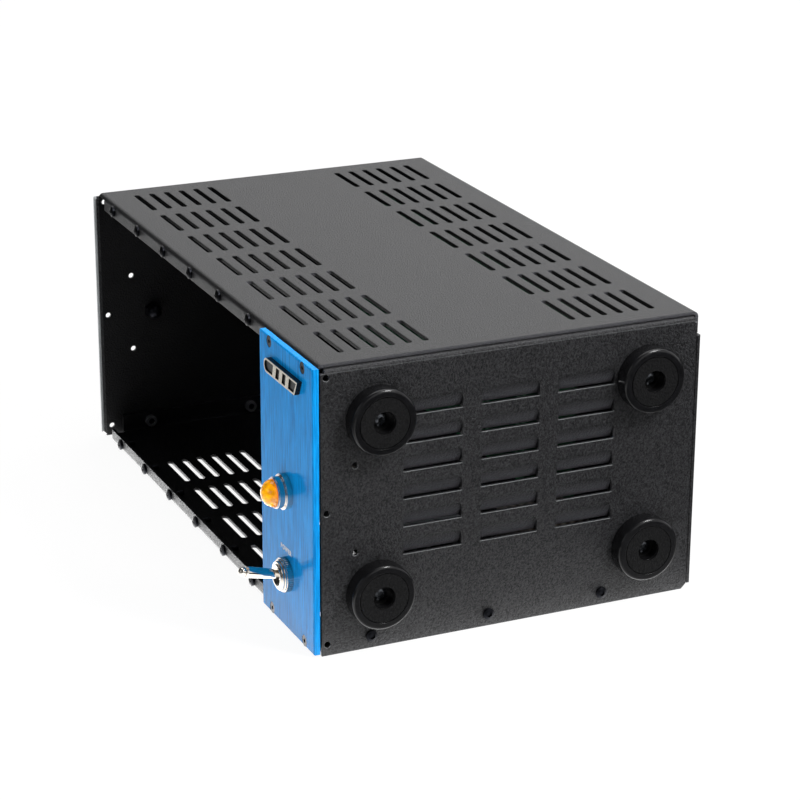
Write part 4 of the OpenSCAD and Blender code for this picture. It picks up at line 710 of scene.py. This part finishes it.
class RACK_OT_connectors(bpy.types.Operator):
    """Finish the rear connectors and fit their contacts."""

    bl_idname = "rack.connectors"
    bl_label = "Rear connectors"

    # pins start this far ahead of the rear face, and sleeves end this far behind it
    PIN_ROOT = 12.0 * MM
    PIN_LENGTH = 12.2 * MM
    SLEEVE_PROUD = 1.4 * MM
    # the inlet's blades: half size across, length, root ahead of the rear face, pitch and step of the middle one
    BLADE = Vector((1.1, 0, 2.1)) * MM
    BLADE_LENGTH = 12.55 * MM
    BLADE_ROOT = 15.9 * MM
    BLADE_PITCH = 7.0 * MM
    BLADE_STEP = 2.0 * MM

    def execute(self, context):
        looks = context.scene.rack_colours
        sizes = context.scene.rack_sizes
        inputs = [f"xlr_input_{i}" for i in SLOTS]
        outputs = [f"xlr_output_{i}" for i in SLOTS]
        # glass-filled nylon: black, with a fine moulded texture and slightly worn gloss
        nylon = moulded("connector_nylon", "#131315", "#222326", rough=(0.32, 0.48), grain=0.7, depth=0.05, edge=0.3)
        dress(nylon, *inputs, *outputs, "xlr_inserts", "mains_inlet")
        # silver over brass: white metal with a soft polish
        silver = plated("silver_plate", linear("#b9b7b0"), linear("#e2e0da"), rough=(0.16, 0.3), patch=1.2, edge=0)
        pin = {"Radius": sizes.pin_radius, "Length": self.PIN_LENGTH}
        tree, start = geometry_tree("contact_pin", pin)
        rod = add(tree, "GeometryNodeMeshCylinder", {
            "Vertices": 20, "Radius": start.outputs["Radius"], "Depth": start.outputs["Length"]})
        tip = add(tree, "GeometryNodeMeshUVSphere", {
            "Segments": 20, "Rings": 10, "Radius": start.outputs["Radius"]})
        half = add(tree, "ShaderNodeMath", {0: start.outputs["Length"], 1: 0.5}, operation="MULTIPLY")
        reach = add(tree, "ShaderNodeCombineXYZ", {"Z": half.outputs[0]})
        end = add(tree, "GeometryNodeTransform", {"Geometry": tip.outputs[0], "Translation": reach.outputs[0],
                                                  "Scale": (1, 1, 0.6)})
        whole = add(tree, "GeometryNodeJoinGeometry", {0: rod.outputs[0]})
        tree.links.new(end.outputs[0], whole.inputs[0])
        smooth = add(tree, "GeometryNodeSetShadeSmooth", {"Geometry": whole.outputs[0]})
        turned = add(tree, "GeometryNodeTransform", {"Geometry": smooth.outputs[0],
                                                     "Rotation": (-math.pi / 2, 0, 0)})
        spread = add(tree, "GeometryNodeInstanceOnPoints", {
            "Points": start.outputs["Geometry"], "Instance": turned.outputs[0]})
        finish_tree(tree, spread.outputs[0], silver)
        centre = REAR_FACE - self.PIN_ROOT + pin["Length"] / 2
        place("output_pins", grow("output_pins", tree, pin, contact_points(outputs, sizes.pin_circle, centre)),
              None)
        ring = {"Radius": 1.2 * MM, "Wall": 0.3 * MM, "Length": 6.0 * MM}
        tree, start = geometry_tree("contact_sleeve", ring)
        loop = add(tree, "GeometryNodeCurvePrimitiveCircle", {"Resolution": 20, "Radius": start.outputs["Radius"]})
        wall = add(tree, "GeometryNodeCurvePrimitiveQuadrilateral", {
            "Width": start.outputs["Wall"], "Height": start.outputs["Length"]})
        sleeve = add(tree, "GeometryNodeCurveToMesh", {"Curve": loop.outputs[0], "Profile Curve": wall.outputs[0]})
        turned = add(tree, "GeometryNodeTransform", {"Geometry": sleeve.outputs[0],
                                                     "Rotation": (-math.pi / 2, 0, 0)})
        spread = add(tree, "GeometryNodeInstanceOnPoints", {
            "Points": start.outputs["Geometry"], "Instance": turned.outputs[0]})
        finish_tree(tree, spread.outputs[0], gold_plate(looks))
        centre = REAR_FACE + self.SLEEVE_PROUD - ring["Length"] / 2
        place("input_sleeves", grow("input_sleeves", tree, ring, contact_points(inputs, sizes.pin_circle, centre)),
              None)
        inlet = middle("mains_inlet")
        along = Vector((0, self.BLADE_LENGTH, 0))
        blades = []
        for k in (-1, 0, 1):
            lift = -self.BLADE_STEP if k else self.BLADE_STEP
            root = Vector((inlet.x + k * self.BLADE_PITCH, REAR_FACE - self.BLADE_ROOT, inlet.z + lift))
            blades.append((root - self.BLADE, root + along + self.BLADE))
        place("inlet_blades", boxes("inlet_blades", blades, ease=0.4), silver)
        return {"FINISHED"}


class RACK_OT_rear_words(bpy.types.Operator):
    """Print IN, OUT and numerals over the rear connectors."""

    bl_idname = "rack.rear_words"
    bl_label = "Rear words"

    # height of the letters as a share of their line
    LETTER = 0.8

    def execute(self, context):
        height = context.scene.rack_sizes.numeral_height
        marks = []
        for i in SLOTS:
            for node, word in ((f"xlr_input_{i}", f"IN {i}"), (f"xlr_output_{i}", f"OUT {i}")):
                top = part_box(node)[1].z
                spot = Vector((middle(node).x, REAR_FACE + INK, top + height))
                marks.append(words(word, height * self.LETTER, spot, facing=1))
        ink = bpy.data.materials["print_ink"]
        place("rear_legends", joined("rear_legends", marks), ink)
        return {"FINISHED"}


class RACK_OT_inside(bpy.types.Operator):
    """Finish the boards and what they carry, and fit the card contacts."""

    bl_idname = "rack.inside"
    bl_label = "Inside"

    # width of a socket's slot for its card, and how far in from the mouth the contacts start
    CARD_SLOT = 1.8 * MM
    LEAF_INSET = 1.7 * MM

    def execute(self, context):
        looks = context.scene.rack_colours
        sizes = context.scene.rack_sizes
        sockets = [f"edge_connector_{i}" for i in SLOTS]
        dress(printed_board(looks), "backplane_board", "psu_board")
        # glass-filled polyester: green, with paler clouds where the fibres lie
        polyester = moulded("socket_polyester", "#123524", "#2a6a49", rough=(0.38, 0.55), grain=0.8, depth=0.04)
        dress(polyester, *sockets)
        dress(transformer_stack(), "psu_transformer")
        dress(capacitor_can(), "psu_capacitors")
        # bare extruded aluminium: light grey metal with a satin gleam
        bare = plated("extruded_aluminium", linear("#7f8388"), linear("#a6aab0"), rough=(0.3, 0.46), patch=3.0)
        dress(bare, "psu_heatsink")
        leaf = {"Count": sizes.leaf_count, "Pitch": sizes.leaf_pitch, "Thickness": 0.35 * MM,
                "Width": 1.9 * MM, "Depth": 7.0 * MM}
        tree, start = geometry_tree("card_contact", leaf)
        size = add(tree, "ShaderNodeCombineXYZ", {
            "X": start.outputs["Thickness"], "Y": start.outputs["Depth"], "Z": start.outputs["Width"]})
        blade = add(tree, "GeometryNodeMeshCube", {"Size": size.outputs[0]})
        step = add(tree, "ShaderNodeCombineXYZ", {"Z": start.outputs["Pitch"]})
        row = add(tree, "GeometryNodeMeshLine", {"Count": start.outputs["Count"], "Offset": step.outputs[0]})
        rank = add(tree, "GeometryNodeInstanceOnPoints", {"Points": row.outputs[0], "Instance": blade.outputs[0]})
        spread = add(tree, "GeometryNodeInstanceOnPoints", {
            "Points": start.outputs["Geometry"], "Instance": rank.outputs[0]})
        finish_tree(tree, spread.outputs[0], gold_plate(looks))
        first = []
        for node in sockets:
            centre = middle(node)
            lowest = centre.z - sizes.leaf_pitch * (sizes.leaf_count - 1) / 2
            for side in (-1, 1):
                first.append((centre.x + side * (self.CARD_SLOT - leaf["Thickness"]) / 2,
                              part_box(node)[0].y + self.LEAF_INSET + leaf["Depth"] / 2, lowest))
        place("card_contacts", grow("card_contacts", tree, leaf, first), None)
        return {"FINISHED"}


class RACK_OT_handle(bpy.types.Operator):
    """Finish the carry handle."""

    bl_idname = "rack.handle"
    bl_label = "Handle"

    def execute(self, context):
        dress(strap_rubber(context.scene.rack_colours), "handle_strap")
        # moulded end caps: satin black polypropylene with a fine leather grain
        caps = moulded("cap_polypropylene", "#18191a", "#2a2b2d", rough=(0.36, 0.5), grain=0.9, depth=0.08, edge=0.8)
        dress(caps, "handle_caps")
        return {"FINISHED"}


class RACK_OT_stage(bpy.types.Operator):
    """Lay the floor, hang the softboxes and set up the camera."""

    bl_idname = "rack.stage"
    bl_label = "Stage"

    # the camera's place and its picture axes in the part's frame
    EYE = (1.10162, -0.48654, 0.49625)
    RIGHT = (0.41105, 0.9116, 0.00471)
    UP = (-0.31477, 0.13708, 0.93922)
    BACK = (0.85555, -0.38755, 0.34329)
    # the softboxes: name, place and size in metres, and the property that holds the power; all point at AIM
    SOFTBOXES = (
        ("key", (-0.35, 0.4, 1.5), 1.7, "key_power"),
        ("fill_front", (0.6, -1.6, 0.9), 1.0, "fill_power"),
        ("fill_rear", (-0.9, 1.6, 0.9), 1.0, "fill_power"),
        ("fill_right", (1.6, 0.3, 0.9), 1.0, "right_power"),
        ("rim", (0.99, 0.7, 1.31), 0.35, "rim_power"),
    )
    AIM = (0, 0, 0.07)
    # the floor: half its side, then the distance and the factor over which its mirror image fades
    FLOOR_REACH = 6.0
    SIDE_REACH, SIDE_FADE = 0.4, 22.0
    FRONT_REACH, FRONT_FADE = 0.5, 6.0

    def execute(self, context):
        scene = context.scene
        setup = scene.rack_stage
        scene.view_settings.view_transform = "Standard"
        self.camera(scene, setup)
        self.floor(scene, setup)
        self.room(scene, setup)
        for name, spot, size, power in self.SOFTBOXES:
            self.softbox(scene, name, spot, size, getattr(setup, power))
        return {"FINISHED"}

    def camera(self, scene, setup):
        """Set the camera where the photograph was taken from."""
        data = bpy.data.cameras.new("camera")
        data.sensor_fit = "HORIZONTAL"
        data.sensor_width = 36
        data.lens = setup.lens
        data.clip_start = 0.05
        view = bpy.data.objects.new("camera", data)
        axes = Matrix((self.RIGHT, self.UP, self.BACK)).transposed().to_4x4()
        view.matrix_world = Matrix.Translation(self.EYE) @ axes
        scene.collection.objects.link(view)
        scene.camera = view

    def floor(self, scene, setup):
        """Lay matt paper under the rack."""
        far = self.FLOOR_REACH
        mesh = bpy.data.meshes.new("floor")
        mesh.from_pydata([(-far, -far, 0), (far, -far, 0), (far, far, 0), (-far, far, 0)], [], [(0, 1, 2, 3)])
        made = bpy.data.materials.new("white_paper")
        made.use_nodes = True
        tree = made.node_tree
        tree.nodes.clear()
        # matt paper, white to the eye with a faint shadow; mirrored, it glares in front of the rack and fades
        # outward, faster at the sides and the back; under the rack's rear half a dark shadow is painted
        paper = add(tree, "ShaderNodeBsdfDiffuse", {"Color": linear("#f0f0f0")})
        faint = add(tree, "ShaderNodeBsdfDiffuse", {"Color": linear("#4c4c4c")})
        where = add(tree, "ShaderNodeTexCoord").outputs["Object"]
        tall = Vector((0, 0, 1))
        # painted shadow: under the rack's rear half the white seen by the eye and the mirror image are taken away
        off = outside(tree, where, Vector((CASE_LO.x, 0, 0)) - tall, CASE_HI + tall)
        outside_painted_shadow = add(tree, "ShaderNodeMapRange", {"Value": off, "From Min": -0.012, "From Max": -0.004}).outputs[0]
        level = add(tree, "ShaderNodeMath", {0: outside_painted_shadow, 1: 0.94}, operation="MULTIPLY")
        white = add(tree, "ShaderNodeEmission", {"Strength": level.outputs[0]})
        eye = add(tree, "ShaderNodeAddShader", {0: faint.outputs[0], 1: white.outputs[0]})
        depth = add(tree, "ShaderNodeSeparateXYZ", {"Vector": where}).outputs["Y"]
        wide = outside(tree, where, Vector((CASE_LO.x, -far, 0)) - tall, CASE_HI + tall)
        behind = add(tree, "ShaderNodeMapRange", {"Value": depth, "From Min": CASE_LO.y - 0.02,
                                                  "From Max": CASE_LO.y + 0.02})
        beside = add(tree, "ShaderNodeMath", {0: wide, 1: behind.outputs[0]}, operation="MULTIPLY")
        aside = add(tree, "ShaderNodeMapRange", {"Value": beside.outputs[0], "From Max": self.SIDE_REACH,
                                                 "To Min": 1.0, "To Max": self.SIDE_FADE})
        ahead = add(tree, "ShaderNodeMapRange", {
            "Value": depth, "From Min": CASE_LO.y, "From Max": CASE_LO.y - self.FRONT_REACH,
            "To Min": 1.0, "To Max": self.FRONT_FADE})
        steps = add(tree, "ShaderNodeMath", {0: aside.outputs[0], 1: ahead.outputs[0]}, operation="MULTIPLY")
        fade = add(tree, "ShaderNodeMath", {0: steps.outputs[0], 1: -2.0}, operation="POWER")
        glare = add(tree, "ShaderNodeMath", {0: fade.outputs[0], 1: setup.glow}, operation="MULTIPLY")
        open_floor = add(tree, "ShaderNodeMath", {0: glare.outputs[0], 1: outside_painted_shadow}, operation="MULTIPLY")
        mirrored = add(tree, "ShaderNodeEmission", {"Strength": open_floor.outputs[0]})
        self.output(tree, "ShaderNodeOutputMaterial", paper, eye, mirrored)
        mesh.materials.append(made)
        floor = bpy.data.objects.new("floor", mesh)
        scene.collection.objects.link(floor)

    def room(self, scene, setup):
        """Light the rack from a white room."""
        world = bpy.data.worlds.new("room")
        scene.world = world
        world.use_nodes = True
        tree = world.node_tree
        tree.nodes.clear()
        light = add(tree, "ShaderNodeBackground", {"Strength": setup.room, "Color": (1, 1, 1, 1)})
        white = add(tree, "ShaderNodeBackground", {"Strength": 1.0, "Color": (1, 1, 1, 1)})
        # mirrored, the room is white low at the back and dark overhead, in front and behind the camera
        way = add(tree, "ShaderNodeSeparateXYZ", {"Vector": add(tree, "ShaderNodeTexCoord").outputs["Generated"]})
        low = add(tree, "ShaderNodeMapRange", {"Value": way.outputs["Z"], "From Min": 0.35, "From Max": 0.75,
                                               "To Min": 0.95, "To Max": 0.3})
        back = add(tree, "ShaderNodeMapRange", {"Value": way.outputs["Y"], "From Min": -0.3, "From Max": 0.3,
                                                "To Min": 0.08, "To Max": 1.2})
        both = add(tree, "ShaderNodeMath", {0: low.outputs[0], 1: back.outputs[0]}, operation="MULTIPLY")
        mirrored = add(tree, "ShaderNodeBackground", {"Strength": both.outputs[0], "Color": (1, 1, 1, 1)})
        self.output(tree, "ShaderNodeOutputWorld", light, white, mirrored)

    def output(self, tree, kind, light, eye, mirrored):
        """End a tree in one look for the light that it sends, one for the camera and one for mirror images."""
        path = add(tree, "ShaderNodeLightPath").outputs
        shiny = add(tree, "ShaderNodeMath", {0: path["Is Glossy Ray"], 1: path["Is Transmission Ray"]},
                    operation="MAXIMUM")
        image = add(tree, "ShaderNodeMixShader", {0: shiny.outputs[0], 1: light.outputs[0], 2: mirrored.outputs[0]})
        whole = add(tree, "ShaderNodeMixShader", {0: path["Is Camera Ray"], 1: image.outputs[0],
                                                  2: eye.outputs[0]})
        add(tree, kind, {"Surface": whole.outputs[0]})

    def softbox(self, scene, name, spot, size, power):
        """Hang a square softbox that points at the rack."""
        data = bpy.data.lights.new(name, "AREA")
        data.shape = "SQUARE"
        data.size = size
        data.energy = power
        box = bpy.data.objects.new(name, data)
        aim = Vector(self.AIM) - Vector(spot)
        box.matrix_world = Matrix.Translation(spot) @ aim.to_track_quat("-Z", "Y").to_matrix().to_4x4()
        scene.collection.objects.link(box)


class RACK_PT_sidebar(bpy.types.Panel):
    """List the steps that dress the rack."""

    bl_idname = "RACK_PT_sidebar"
    bl_label = "Module rack"
    bl_space_type = "VIEW_3D"
    bl_region_type = "UI"
    bl_category = "Rack"

    def draw(self, context):
        for group in (context.scene.rack_colours, context.scene.rack_sizes, context.scene.rack_stage):
            for name in group.__annotations__:
                self.layout.prop(group, name)
        for step in STEPS:
            self.layout.operator(step.bl_idname)


STEPS = (RACK_OT_case, RACK_OT_feet, RACK_OT_panel, RACK_OT_lamp, RACK_OT_switch, RACK_OT_connectors,
         RACK_OT_rear_words, RACK_OT_inside, RACK_OT_handle, RACK_OT_stage)
GROUPS = {"rack_colours": RackColours, "rack_sizes": RackSizes, "rack_stage": RackStage}


def register():
    for made in (*GROUPS.values(), *STEPS, RACK_PT_sidebar):
        bpy.utils.register_class(made)
    for name, group in GROUPS.items():
        setattr(bpy.types.Scene, name, bpy.props.PointerProperty(type=group))


def unregister():
    for name in GROUPS:
        delattr(bpy.types.Scene, name)
    for made in (RACK_PT_sidebar, *reversed(STEPS), *GROUPS.values()):
        bpy.utils.unregister_class(made)


def main():
    register()
    for step in STEPS:
        family, name = step.bl_idname.split(".")
        getattr(getattr(bpy.ops, family), name)()


if __name__ == "__main__":
    main()
